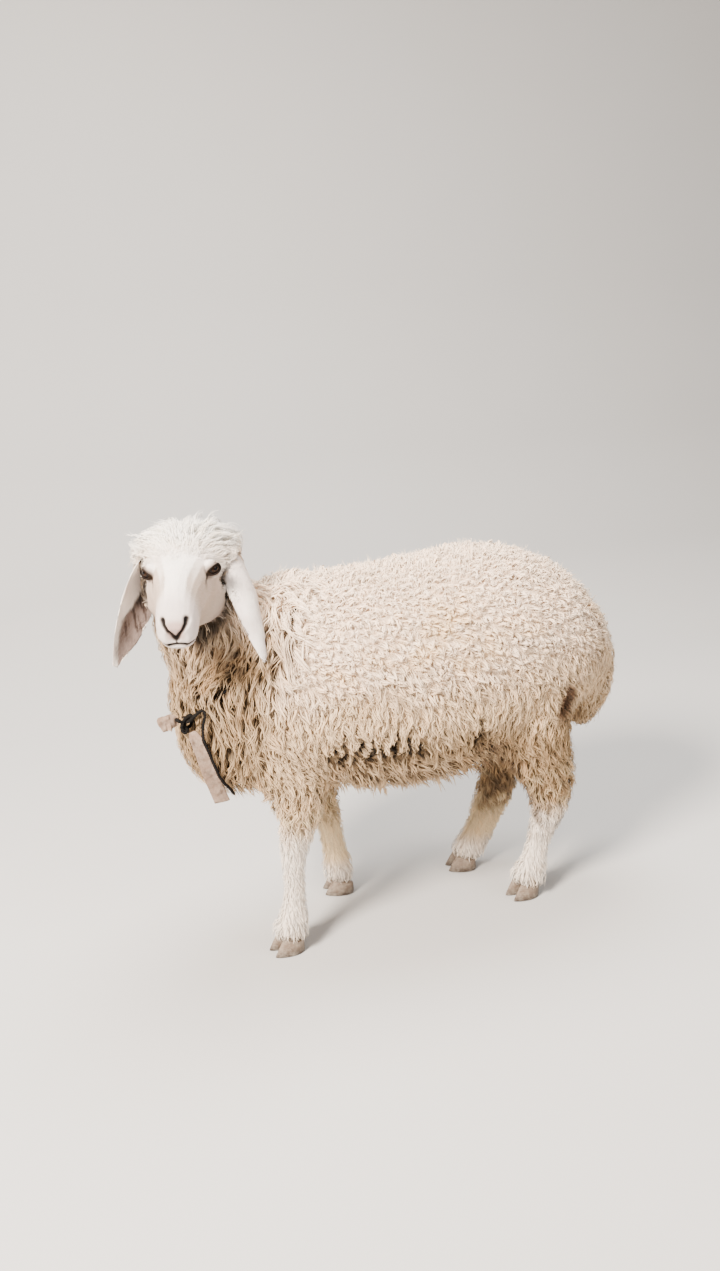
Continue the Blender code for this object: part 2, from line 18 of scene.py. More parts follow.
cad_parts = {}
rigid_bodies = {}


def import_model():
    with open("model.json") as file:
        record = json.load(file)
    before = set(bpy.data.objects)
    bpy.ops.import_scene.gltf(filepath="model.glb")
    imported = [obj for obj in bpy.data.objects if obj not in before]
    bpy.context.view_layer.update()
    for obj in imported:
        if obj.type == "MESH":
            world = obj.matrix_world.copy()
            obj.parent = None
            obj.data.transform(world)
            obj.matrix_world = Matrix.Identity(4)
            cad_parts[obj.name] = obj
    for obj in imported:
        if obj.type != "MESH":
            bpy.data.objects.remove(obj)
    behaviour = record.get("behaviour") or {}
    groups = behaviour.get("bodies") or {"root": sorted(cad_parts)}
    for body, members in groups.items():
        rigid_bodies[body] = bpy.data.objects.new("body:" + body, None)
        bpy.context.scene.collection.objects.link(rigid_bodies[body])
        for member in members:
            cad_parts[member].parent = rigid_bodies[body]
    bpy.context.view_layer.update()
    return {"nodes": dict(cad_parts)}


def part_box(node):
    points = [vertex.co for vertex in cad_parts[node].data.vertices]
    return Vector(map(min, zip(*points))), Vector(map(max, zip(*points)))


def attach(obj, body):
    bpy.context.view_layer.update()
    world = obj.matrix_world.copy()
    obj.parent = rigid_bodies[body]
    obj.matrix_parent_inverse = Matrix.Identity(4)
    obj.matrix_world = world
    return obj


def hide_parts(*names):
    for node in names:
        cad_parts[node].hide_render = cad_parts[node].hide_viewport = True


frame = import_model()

log = logging.getLogger("sheep")

BODY_SHIFT = Vector((-0.0122, -0.0141, 0.0))    # the solids' move to their common origin
SIDEWAYS = np.array((0.0, 1.0, 0.0))
Array = np.ndarray
Colour = tuple[float, float, float]
Route = Sequence[Sequence[float]]


class Slot(Enum):
    """The record's material slots."""

    WOOL = "wool"
    FACE = "face_hair"
    LEG = "leg_hair"
    HORN = "hoof_horn"
    EYE = "eye"
    CORD = "cord"
    LEATHER = "leather"


# ---------------------------------------------------------------- small maths
def ease(low: float, high: float, value: Array) -> Array:
    """Ease from 0 at low to 1 at high; low may be the larger."""
    share = np.clip((value - low) / (high - low), 0.0, 1.0)
    return share * share * (3.0 - 2.0 * share)


def bump(value: Array, middle: float, width: float) -> Array:
    """A soft hump, 1 at the middle and gone about two widths away."""
    return np.exp(-((value - middle) / width) ** 2)


def unit(vectors: Array) -> Array:
    """Rows scaled to length one."""
    size = np.linalg.norm(vectors, axis=-1, keepdims=True)
    return vectors / np.maximum(size, 1e-9)


def along_skin(vectors: Array, normals: Array) -> Array:
    """Unit directions with what stands up from the skin taken out."""
    return unit(vectors - normals * np.sum(vectors * normals, axis=1, keepdims=True))


def slant(points: Array) -> Array:
    """How far each place is along a level line turned 20 degrees to the right of ahead."""
    return 0.94 * points[:, 0] - 0.342 * points[:, 1]


def ripple(points: Array, size: float, seed: int) -> Array:
    """Smooth pseudo-random waves of about the given size, mostly within -1 and 1.

    Args:
        points: places, one per row.
        size: the usual distance from crest to crest in metres.
        seed: picks the pattern.

    Returns:
        One value for each place.
    """
    draw = np.random.default_rng(seed)
    total = np.zeros(len(points))
    for _ in range(9):
        direction = unit(draw.normal(size=3))
        pitch = math.tau / (size * draw.uniform(0.6, 1.6))
        total += np.sin(points @ direction * pitch + draw.uniform(0.0, math.tau))
    return total / 3.2


class Paint:
    """A colour for each place, over which others are laid."""

    def __init__(self, ground: Colour, count: int) -> None:
        """Start with one colour everywhere."""
        self.colours = np.tile(np.array(ground), (count, 1))

    def lay(self, colour: Colour, weight: Array) -> None:
        """Mix a colour over the rest by a weight for each place."""
        share = np.clip(weight, 0.0, 1.0)[:, None]
        self.colours = self.colours * (1.0 - share) + np.array(colour) * share


def curve_distance(points: Array, route: Route, outward: Array | float = 0.0) -> tuple[Array, Array]:
    """Distance to a line through a few points.

    Args:
        points: places, one per row.
        route: the line's corners.
        outward: a direction for each place along which distance doesn't count.

    Returns:
        The distance of each place, and its share of the way along the line.
    """
    corners = np.array(route, dtype=float)
    best = np.full(len(points), 1e9)
    along = np.zeros(len(points))
    count = len(corners) - 1
    for index in range(count):
        start, step = corners[index], corners[index + 1] - corners[index]
        share = np.clip((points - start) @ step / (step @ step), 0.0, 1.0)
        away = points - (start + share[:, None] * step)
        away = away - outward * np.sum(away * outward, axis=1, keepdims=True)
        gap = np.linalg.norm(away, axis=1)
        nearer = gap < best
        best[nearer] = gap[nearer]
        along[nearer] = (index + share[nearer]) / count
    return best, along


def smooth_route(route: Route, count: int) -> Array:
    """Points evenly spaced along a smooth curve through a route's points, moved as the body is."""
    knots = np.array(route, dtype=float)
    padded = np.vstack([2 * knots[0] - knots[1], knots, 2 * knots[-1] - knots[-2]])
    fine = []
    for index in range(1, len(padded) - 2):
        a, b, c, d = padded[index - 1:index + 3]
        for t in np.linspace(0.0, 1.0, 24, endpoint=False):
            fine.append(0.5 * (2 * b + (c - a) * t + (2 * a - 5 * b + 4 * c - d) * t * t
                               + (3 * b - a - 3 * c + d) * t ** 3))
    fine.append(knots[-1])
    fine = np.array(fine)
    length = np.concatenate([[0.0], np.cumsum(np.linalg.norm(np.diff(fine, axis=0), axis=1))])
    wanted = np.linspace(0.0, length[-1], count)
    even = np.stack([np.interp(wanted, length, fine[:, axis]) for axis in range(3)], axis=1)
    return even + np.array(BODY_SHIFT)


def nearest(centres: Array, points: Array) -> tuple[Array, Array]:
    """For each point, the nearest of the centres and the distance to it."""
    tree = KDTree(len(centres))
    for index, centre in enumerate(centres):
        tree.insert(centre, index)
    tree.balance()
    found = [tree.find(point)[1:] for point in points]
    return np.array([index for index, _ in found]), np.array([gap for _, gap in found])


# ---------------------------------------------------------------- mesh helpers
@contextmanager
def editing(mesh: Mesh) -> Iterator[bmesh.types.BMesh]:
    """Open a mesh for editing and write it back."""
    work = bmesh.new()
    work.from_mesh(mesh)
    yield work
    work.to_mesh(mesh)
    work.free()


def linked(name: str, mesh: Mesh) -> Object:
    """Put a mesh in the scene as an object at the origin."""
    obj = bpy.data.objects.new(name, mesh)
    bpy.context.scene.collection.objects.link(obj)
    return obj


def put_down(name: str, work: bmesh.types.BMesh) -> Object:
    """Turn edited geometry into a new object."""
    mesh = bpy.data.meshes.new(name)
    work.to_mesh(mesh)
    work.free()
    return linked(name, mesh)


def mesh_object(name: str, points: Array, faces: Sequence[Sequence[int]]) -> Object:
    """Make a smooth-shaded object from points and faces."""
    mesh = bpy.data.meshes.new(name)
    mesh.from_pydata([tuple(p) for p in points], [], [tuple(f) for f in faces])
    mesh.validate()
    mesh.shade_smooth()
    return linked(name, mesh)


def triangle_object(name: str, points: Array, triangles: Array) -> Object:
    """Make a smooth-shaded object from big arrays of points and triangles."""
    mesh = bpy.data.meshes.new(name)
    mesh.vertices.add(len(points))
    mesh.vertices.foreach_set("co", points.astype(np.float32).ravel())
    mesh.loops.add(triangles.size)
    mesh.loops.foreach_set("vertex_index", triangles.astype(np.int32).ravel())
    mesh.polygons.add(len(triangles))
    mesh.polygons.foreach_set("loop_start", np.arange(0, triangles.size, 3, dtype=np.int32))
    mesh.update(calc_edges=True)
    mesh.shade_smooth()
    return linked(name, mesh)


def read(items: bpy.types.bpy_prop_collection, name: str, width: int = 3) -> Array:
    """Read numbers from a mesh's own list, one row for each item."""
    values = np.empty(len(items) * width, dtype=np.float32)
    items.foreach_get(name, values)
    return values.reshape(-1, width).astype(float)


def points_of(obj: Object) -> Array:
    """An object's vertex places."""
    return read(obj.data.vertices, "co")


def normals_of(obj: Object) -> Array:
    """An object's vertex normals."""
    return read(obj.data.vertex_normals, "vector")


def set_points(obj: Object, points: Array) -> None:
    """Move an object's vertices."""
    obj.data.vertices.foreach_set("co", points.astype(np.float32).ravel())
    obj.data.update()


def write_colours(obj: Object, name: str, values: Array) -> None:
    """Store a colour for each vertex, with a fourth value where it is given."""
    layer = obj.data.attributes.new(name, "FLOAT_COLOR", "POINT")
    four = np.ones((len(values), 4), dtype=np.float32)
    four[:, :values.shape[1]] = values
    layer.data.foreach_set("color", four.ravel())


def write_vectors(obj: Object, name: str, values: Array) -> None:
    """Store a direction for each vertex."""
    layer = obj.data.attributes.new(name, "FLOAT_VECTOR", "POINT")
    layer.data.foreach_set("vector", values.astype(np.float32).ravel())


def bake_down(obj: Object) -> Object:
    """Turn an object's modifiers into plain mesh."""
    graph = bpy.context.evaluated_depsgraph_get()
    mesh = bpy.data.meshes.new_from_object(obj.evaluated_get(graph))
    old = obj.data
    obj.modifiers.clear()
    obj.data = mesh
    bpy.data.meshes.remove(old)
    return obj


def remove(obj: Object) -> None:
    """Take an object out of the file."""
    bpy.data.objects.remove(obj, do_unlink=True)


def face_outward(mesh: Mesh) -> None:
    """Turn every face of a closed mesh outward."""
    with editing(mesh) as work:
        bmesh.ops.recalc_face_normals(work, faces=work.faces)


def merged_copy(node: str, swell: float = 0.0, quads: bool = False) -> Object:
    """A closed copy of a solid, its doubles merged.

    Args:
        node: the solid's name.
        swell: how far its surface moves outward.
        quads: join its triangles in pairs.

    Returns:
        The copy.
    """
    copy = linked(f"{node}_copy", frame["nodes"][node].data.copy())
    with editing(copy.data) as work:
        bmesh.ops.remove_doubles(work, verts=work.verts, dist=0.00002)
        bmesh.ops.recalc_face_normals(work, faces=work.faces)
        if quads:
            bmesh.ops.join_triangles(work, faces=work.faces, angle_face_threshold=1.0,
                                     angle_shape_threshold=1.2)
        work.normal_update()
        for vertex in work.verts:
            vertex.co += vertex.normal * swell
    return copy


def joined(name: str, parts: Sequence[Object]) -> Object:
    """Join plain meshes into one object, overlaps and all."""
    work = bmesh.new()
    for part in parts:
        work.from_mesh(part.data)
        remove(part)
    return put_down(name, work)


def remeshed(obj: Object, voxel: float, smoothing: int) -> Object:
    """Rebuild an object's surface as even quads and smooth it."""
    grid = obj.modifiers.new("grid", "REMESH")
    grid.mode = "VOXEL"
    grid.voxel_size = voxel
    soften = obj.modifiers.new("soften", "SMOOTH")
    soften.factor = 0.5
    soften.iterations = smoothing
    return bake_down(obj)


def subdivided(obj: Object) -> Object:
    """Round an object off by two levels of subdivision."""
    finer = obj.modifiers.new("finer", "SUBSURF")
    finer.levels = finer.render_levels = 2
    return bake_down(obj)


def round_edges(obj: Object, width: float, sharper_than: float = 30.0) -> None:
    """Bevel an object's edges that turn by more degrees than given."""
    edge = obj.modifiers.new("edge", "BEVEL")
    edge.width = width
    edge.segments = 2
    edge.limit_method = "ANGLE"
    edge.angle_limit = math.radians(sharper_than)


def boolean(target: Object, tool: Object, operation: str) -> None:
    """Apply one Boolean and drop the tool; the exact solver steps in where the quick one fails."""
    before = target.data.copy()
    wanted = 0.7 * len(before.polygons)
    if operation == "UNION":
        wanted += 0.5 * len(tool.data.polygons)
    for solver in ("MANIFOLD", "EXACT"):
        target.data = before.copy()
        step = target.modifiers.new("boolean", "BOOLEAN")
        step.operation = operation
        step.object = tool
        step.solver = solver
        bake_down(target)
        if len(target.data.polygons) > wanted:
            break
        log.info("%s: the %s solver failed", target.name, solver)
    bpy.data.meshes.remove(before)
    remove(tool)


def surface_tree(obj: Object) -> BVHTree:
    """A search tree over an object's surface."""
    return BVHTree.FromObject(obj, bpy.context.evaluated_depsgraph_get())


# ---------------------------------------------------------------- node graphs
class Graph:
    """Short calls for wiring a node tree."""

    def __init__(self, tree: NodeTree) -> None:
        """Keep the tree."""
        self.tree = tree

    def node(self, kind: str, inputs: dict | None = None, **settings: object) -> Node:
        """Add a node.

        Args:
            kind: the node's type name.
            inputs: values or sockets for its inputs, by name or number.
            settings: its other properties.

        Returns:
            The node.
        """
        made = self.tree.nodes.new(kind)
        for key, value in settings.items():
            setattr(made, key, value)
        for key, value in (inputs or {}).items():
            if isinstance(value, NodeSocket):
                self.tree.links.new(value, made.inputs[key])
            else:
                made.inputs[key].default_value = value
        return made

    def maths(self, operation: str, first: object, second: object = 0.0) -> NodeSocket:
        """A Math node's result."""
        return self.node("ShaderNodeMath", {0: first, 1: second}, operation=operation).outputs[0]

    def times(self, first: object, second: object) -> NodeSocket:
        """A product."""
        return self.maths("MULTIPLY", first, second)

    def plus(self, first: object, second: object) -> NodeSocket:
        """A sum."""
        return self.maths("ADD", first, second)

    def scaled(self, vector: object, by: object) -> NodeSocket:
        """A vector made longer or shorter."""
        return self.node("ShaderNodeVectorMath", {0: vector, "Scale": by}, operation="SCALE").outputs[0]

    def mix(self, share: object, first: object, second: object, how: str = "MIX") -> NodeSocket:
        """A colour mix's result."""
        return self.node("ShaderNodeMix", {0: share, 6: first, 7: second}, data_type="RGBA",
                         blend_type=how).outputs[2]

    def tint(self, first: object, second: object) -> NodeSocket:
        """Two colours multiplied."""
        return self.mix(1.0, first, second, "MULTIPLY")

    def span(self, value: object, low: float, high: float, to_low: float = 0.0, to_high: float = 1.0
             ) -> NodeSocket:
        """A Map Range's result, clamped."""
        return self.node("ShaderNodeMapRange", {0: value, 1: low, 2: high, 3: to_low, 4: to_high}
                         ).outputs[0]

    def noise(self, place: object, scale: object, detail: float = 2.0, rough: float = 0.5) -> NodeSocket:
        """A noise pattern's value."""
        return self.node("ShaderNodeTexNoise", {"Vector": place, "Scale": scale, "Detail": detail,
                                                "Roughness": rough}).outputs[0]

    def attribute(self, name: str) -> bpy.types.bpy_prop_collection:
        """A named attribute's outputs."""
        return self.node("ShaderNodeAttribute", attribute_name=name).outputs

    def channels(self, colour: object) -> list[NodeSocket]:
        """The three parts of a colour."""
        return list(self.node("ShaderNodeSeparateColor", {0: colour}).outputs)

    def place(self) -> NodeSocket:
        """Object coordinates."""
        return self.node("ShaderNodeTexCoord").outputs["Object"]

    def give(self, out: Node, **results: NodeSocket) -> NodeTree:
        """Wire a group's outputs and hand the tree back."""
        for name, socket in results.items():
            self.tree.links.new(socket, out.inputs[name])
        return self.tree


class Surface(Graph):
    """A new material's graph, with short calls for its shader's main sockets."""

    def __init__(self, name: str, roughness: float, **constants: object) -> None:
        """Start the material.

        Args:
            name: the material's name.
            roughness: its plain roughness.
            constants: other plain shader values, spaces written as underscores.
        """
        self.material = bpy.data.materials.new(name)
        self.material.use_nodes = True
        super().__init__(self.material.node_tree)
        self.shader = self.tree.nodes["Principled BSDF"]
        self.shader.inputs["Roughness"].default_value = roughness
        for key, value in constants.items():
            self.shader.inputs[key.replace("_", " ")].default_value = value

    def dusty(self, effects: "Effects", colour: NodeSocket, dust: Colour, amount: float,
              scale: float) -> Node:
        """Lay dust over a colour.

        Args:
            effects: the shared shader groups.
            colour: what lies under the dust.
            dust: the dust's own colour.
            amount: how much of it there is.
            scale: how fine its patches are.

        Returns:
            The dust group's node.
        """
        return self.node("ShaderNodeGroup", {"Colour": colour, "Dust Colour": (*dust, 1.0),
                                             "Amount": amount, "Patch Scale": scale}, node_tree=effects.dust)

    def finish(self, colour: NodeSocket, roughness: NodeSocket | None = None,
               relief: tuple[NodeSocket, float, float] | None = None) -> Material:
        """Wire the shader.

        Args:
            colour: the base colour.
            roughness: the roughness, where it varies.
            relief: the height, strength and depth of its relief, where it has any.

        Returns:
            The finished material.
        """
        self.tree.links.new(colour, self.shader.inputs["Base Color"])
        if roughness is not None:
            self.tree.links.new(roughness, self.shader.inputs["Roughness"])
        if relief is not None:
            height, strength, distance = relief
            made = self.node("ShaderNodeBump", {"Height": height, "Strength": strength, "Distance": distance})
            self.tree.links.new(made.outputs[0], self.shader.inputs["Normal"])
        return self.material


def shader_group(name: str, inputs: dict[str, object], outputs: dict[str, str]) -> tuple[Graph, Node, Node]:
    """Start a shader node group.

    Args:
        name: the group's name.
        inputs: each input's default: a number or a colour.
        outputs: each output's socket type.

    Returns:
        The group's graph, and its input and output nodes.
    """
    tree = bpy.data.node_groups.new(name, "ShaderNodeTree")
    for key, value in inputs.items():
        kind = "NodeSocketFloat" if isinstance(value, float) else "NodeSocketColor"
        tree.interface.new_socket(key, in_out="INPUT", socket_type=kind).default_value = value
    for key, kind in outputs.items():
        tree.interface.new_socket(key, in_out="OUTPUT", socket_type=kind)
    graph = Graph(tree)
    return graph, graph.node("NodeGroupInput"), graph.node("NodeGroupOutput")


class Effects:
    """The shader groups that several finishes share."""

    def __init__(self) -> None:
        """Build every group once."""
        self.fibre = self.build_fibre()
        self.dust = self.build_dust()

    @staticmethod
    def build_fibre() -> NodeTree:
        """Wool and hair: colour that changes from root to tip and from lock to lock, darker towards the root
        with painted shade.
        """
        graph, given, out = shader_group(
            "fibre_shade",
            {"Colour": (0.8, 0.7, 0.6, 1.0), "Root Dark": 0.5, "Tip Shade": 1.08, "Variation": 0.2},
            {"Colour": "NodeSocketColor", "Fibres": "NodeSocketFloat"})
        root_dark, variation = given.outputs["Root Dark"], given.outputs["Variation"]
        strand = graph.attribute("strand")
        chance, along, lock = graph.channels(strand["Color"])
        deep = graph.mix(root_dark, (0.96, 0.95, 0.93, 1.0), (0.055, 0.034, 0.020, 1.0))
        reach = graph.plus(graph.times(root_dark, 0.35), 0.35)
        rising = graph.node("ShaderNodeMapRange", {0: along, 1: 0.0, 2: reach, 3: 0.0, 4: 1.0},
                            interpolation_type="SMOOTHSTEP").outputs[0]
        low = graph.mix(rising, deep, (1.0, 1.0, 1.0, 1.0))
        high = graph.mix(graph.span(along, 0.55, 1.0), low, given.outputs["Tip Shade"])
        shaded = graph.tint(given.outputs["Colour"], high)
        patch = graph.noise(graph.place(), 26.0, 3.0)
        swing, clump, patchy = (graph.times(graph.maths("SUBTRACT", value, 0.5), variation)
                                for value in (chance, lock, patch))
        varied = graph.tint(shaded, graph.plus(graph.plus(swing, clump), graph.plus(patchy, 1.0)))
        warm = graph.tint(varied, (1.0, 0.92, 0.82, 1.0))
        tinted = graph.mix(graph.span(lock, 0.55, 1.0, 0.0, 0.7), varied, warm)
        flow = graph.node("ShaderNodeCombineXYZ", {
            0: graph.plus(graph.times(strand["Alpha"], 4.5), graph.times(chance, 57.0)),
            1: graph.times(along, 3.0)}).outputs[0]
        fibres = graph.noise(flow, 1.0, 2.0, 0.7)
        lined = graph.tint(tinted, graph.span(fibres, 0.25, 0.75, 0.90, 1.08))
        return graph.give(out, Colour=lined, Fibres=fibres)

    @staticmethod
    def build_dust() -> NodeTree:
        """Dust and wear: a patchy pale film."""
        graph, given, out = shader_group(
            "dusty_wear",
            {"Colour": (0.5, 0.4, 0.3, 1.0), "Dust Colour": (0.5, 0.42, 0.33, 1.0), "Amount": 0.3,
             "Patch Scale": 60.0},
            {"Colour": "NodeSocketColor", "Mask": "NodeSocketFloat"})
        pattern = graph.noise(graph.place(), given.outputs["Patch Scale"], 5.0, 0.65)
        mask = graph.times(graph.span(pattern, 0.42, 0.68), given.outputs["Amount"])
        dusted = graph.mix(mask, given.outputs["Colour"], given.outputs["Dust Colour"])
        return graph.give(out, Colour=dusted, Mask=mask)


@dataclass(frozen=True)
class CoatFinish:
    """Wool or hair that grows in strands."""

    name: str
    tip_shade: float
    variation: float
    sheen: float = 0.06
    relief: float = 0.0007

    def build(self, effects: Effects) -> Material:
        """Make the material: the coat's colours with their painted shade, darker towards each strand's root
        and lighter at its tip, with a fine fibre grain.
        """
        look = Surface(self.name, 0.92, Sheen_Weight=self.sheen, Sheen_Roughness=0.6, Specular_IOR_Level=0.15)
        marks = look.attribute("markings_and_shade")
        shade = look.node("ShaderNodeGroup", {"Colour": marks["Color"], "Root Dark": marks["Alpha"],
                                              "Tip Shade": self.tip_shade, "Variation": self.variation},
                          node_tree=effects.fibre).outputs
        return look.finish(shade["Colour"], relief=(shade["Fibres"], 0.5, self.relief))


@dataclass(frozen=True)
class HideFinish:
    """The skin with its short flat hair."""

    name: str = "hide"
    hair_pitch: float = 0.0011
    dry: float = 0.78
    moist: float = 0.38

    def build(self, effects: Effects) -> Material:
        """Make the material: the markings under fine hair that follows the lie of the coat."""
        look = Surface(self.name, self.dry, Specular_IOR_Level=0.05)
        lie, place = look.attribute("lie")["Vector"], look.place()
        along = look.node("ShaderNodeVectorMath", {0: place, 1: lie}, operation="DOT_PRODUCT").outputs[1]
        drawn_out = look.scaled(look.scaled(lie, along), 0.80)
        flat = look.node("ShaderNodeVectorMath", {0: place, 1: drawn_out}, operation="SUBTRACT").outputs[0]
        hairs = look.noise(flat, 1.0 / self.hair_pitch, 3.0, 0.6)
        tone = look.mix(look.span(hairs, 0.30, 0.72), (0.80, 0.76, 0.73, 1.0), (1.10, 1.10, 1.10, 1.0))
        mottled = look.tint(look.attribute("markings_and_shade")["Color"], tone)
        patch = look.span(look.noise(place, 34.0, 4.0), 0.35, 0.7, 0.93, 1.06)
        wet = look.channels(look.attribute("surface")["Color"])[0]
        height = look.times(hairs, look.span(wet, 0.0, 1.0, 1.0, 0.12))
        return look.finish(look.tint(mottled, patch), look.span(wet, 0.0, 1.0, self.dry, self.moist),
                           (height, 0.55, 0.0009))


@dataclass(frozen=True)
class HornFinish:
    """Dull, dusty hoof horn with growth rings, darker at its foot."""

    name: str = "hoof_horn"
    pale: Colour = (0.19, 0.135, 0.095)
    dark: Colour = (0.018, 0.012, 0.009)
    dust: Colour = (0.42, 0.36, 0.29)

    def build(self, effects: Effects) -> Material:
        """Make the material."""
        look = Surface(self.name, 0.55, Specular_IOR_Level=0.3)
        place = look.place()
        height = look.node("ShaderNodeSeparateXYZ", {0: place}).outputs[2]
        level = look.plus(height, look.times(look.noise(place, 60.0, 3.0), 0.010))
        rings = look.maths("SINE", look.times(level, 2100.0))
        base = look.mix(look.span(level, 0.006, 0.022), (*self.dark, 1.0), (*self.pale, 1.0))
        streak = look.mix(look.span(rings, -1.0, 1.0, 0.0, 0.35), base, (0.16, 0.12, 0.10, 1.0))
        dusty = look.dusty(effects, streak, self.dust, 0.45, 110.0).outputs
        return look.finish(dusty["Colour"], look.span(dusty["Mask"], 0.0, 0.5, 0.45, 0.85),
                           (look.plus(rings, look.noise(place, 500.0, 3.0)), 0.5, 0.0004))


@dataclass(frozen=True)
class CordFinish:
    """Black twisted cord, dusty on its high fibres."""

    name: str = "black_cord"
    colour: Colour = (0.0025, 0.0022, 0.0022)
    worn: Colour = (0.008, 0.007, 0.006)
    dust: Colour = (0.13, 0.10, 0.08)

    def build(self, effects: Effects) -> Material:
        """Make the material."""
        look = Surface(self.name, 0.80, Specular_IOR_Level=0.12)
        fibre = look.noise(look.place(), 900.0, 3.0)
        tone = look.mix(look.span(fibre, 0.4, 0.75), (*self.colour, 1.0), (*self.worn, 1.0))
        dusty = look.dusty(effects, tone, self.dust, 0.06, 160.0).outputs
        return look.finish(dusty["Colour"], relief=(fibre, 0.7, 0.0005))


@dataclass(frozen=True)
class LeatherFinish:
    """Pale, dry, worn strap."""

    name: str = "worn_strap"
    colour: Colour = (0.24, 0.16, 0.115)
    stain: Colour = (0.06, 0.037, 0.025)
    crease: Colour = (0.20, 0.14, 0.10)
    dust: Colour = (0.44, 0.34, 0.27)

    def build(self, effects: Effects) -> Material:
        """Make the material."""
        look = Surface(self.name, 0.85, Specular_IOR_Level=0.25)
        place = look.place()
        stretched = look.node("ShaderNodeMapping", {"Vector": place, "Scale": (1.0, 1.0, 0.22)}).outputs[0]
        creases = look.noise(stretched, 190.0, 4.0, 0.65)
        grime = look.span(look.noise(place, 70.0, 4.0, 0.6), 0.50, 0.72, 0.0, 0.75)
        base = look.mix(grime, (*self.colour, 1.0), (*self.stain, 1.0))
        lined = look.mix(look.span(creases, 0.30, 0.50, 0.6, 0.0), base, (*self.crease, 1.0))
        dusty = look.dusty(effects, lined, self.dust, 0.45, 85.0).outputs
        grain = look.plus(creases, look.times(look.noise(place, 700.0, 3.0), 0.4))
        return look.finish(dusty["Colour"], look.span(creases, 0.2, 0.8, 0.95, 0.7), (grain, 0.8, 0.0009))


@dataclass(frozen=True)
class EyeFinish:
    """Wet dark-amber eye; its rings follow the eyeball's own attribute."""

    name: str
    spoke: Colour = (0.030, 0.012, 0.004)
    between: Colour = (0.006, 0.003, 0.0014)
    rim: Colour = (0.004, 0.002, 0.0012)
    white: Colour = (0.012, 0.006, 0.004)
    pupil: Colour = (0.001, 0.001, 0.0012)

    def build(self, effects: Effects) -> Material:
        """Make the material."""
        look = Surface(self.name, 0.05, Specular_IOR_Level=0.14)
        radius, pupil, turn = look.channels(look.attribute("iris")["Color"])
        fan = look.node("ShaderNodeCombineXYZ", {0: look.times(turn, 46.0), 1: look.times(radius, 2.5)})
        colour = look.mix(look.noise(fan.outputs[0], 1.0, 4.0, 0.7), (*self.between, 1.0), (*self.spoke, 1.0))
        rings = ((look.span(radius, 0.50, 0.62), self.rim), (look.span(radius, 0.70, 0.80), self.white),
                 (look.span(pupil, 0.92, 1.04, 1.0, 0.0), self.pupil))
        for share, ring in rings:
            colour = look.mix(share, colour, (*ring, 1.0))
        return look.finish(colour)


@dataclass(frozen=True)
class FloorFinish:
    """Plain pale floor."""

    name: str = "studio_floor"
    colour: Colour = (0.52, 0.51, 0.50)

    def build(self, effects: Effects) -> Material:
        """Make the material."""
        look = Surface(self.name, 0.9)
        darker = tuple(part * 0.97 for part in self.colour)
        return look.finish(look.mix(look.noise(look.place(), 3.0, 3.0), (*self.colour, 1.0), (*darker, 1.0)))


def dress(obj: Object, material: Material, slot: Slot, *nodes: str) -> Object:
    """Give a finished piece its material and body.

    Args:
        obj: the piece.
        material: its finish.
        slot: its slot in the record, not used.
        nodes: the solids that it stands for.

    Returns:
        The piece.
    """
    obj.data.materials.clear()
    obj.data.materials.append(material)
    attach(obj, "root")
    if nodes:
        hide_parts(*nodes)
    return obj


# ---------------------------------------------------------------- the head's own axes
@dataclass
class HeadFrame:
    """The head's place and turn: forward along the face, left and up across it."""

    poll: Vector = Vector((0.350, 0.020, 0.770)) + BODY_SHIFT
    yaw: float = math.radians(72.0)
    pitch: float = math.radians(22.0)
    tilt: float = math.radians(1.4)

    def matrix(self) -> Matrix:
        """From the head's axes to the animal's."""
        turn = Matrix.Rotation(self.yaw, 4, "Z") @ Matrix.Rotation(self.pitch, 4, "Y")
        return Matrix.Translation(self.poll) @ turn @ Matrix.Rotation(self.tilt, 4, "X")

    def to_head(self, points: Array) -> Array:
        """Places in the head's axes."""
        inverse = np.array(self.matrix().inverted())
        return points @ inverse[:3, :3].T + inverse[:3, 3]

    def to_world(self, points: Array) -> Array:
        """Places in the animal's axes."""
        forward = np.array(self.matrix())
        return points @ forward[:3, :3].T + forward[:3, 3]

    def turned(self, directions: Array) -> Array:
        """Directions given in the head's axes, in the animal's."""
        return directions @ np.array(self.matrix())[:3, :3].T

    def facing(self, directions: Array) -> Array:
        """Directions given in the animal's axes, in the head's."""
        return directions @ np.array(self.matrix())[:3, :3]


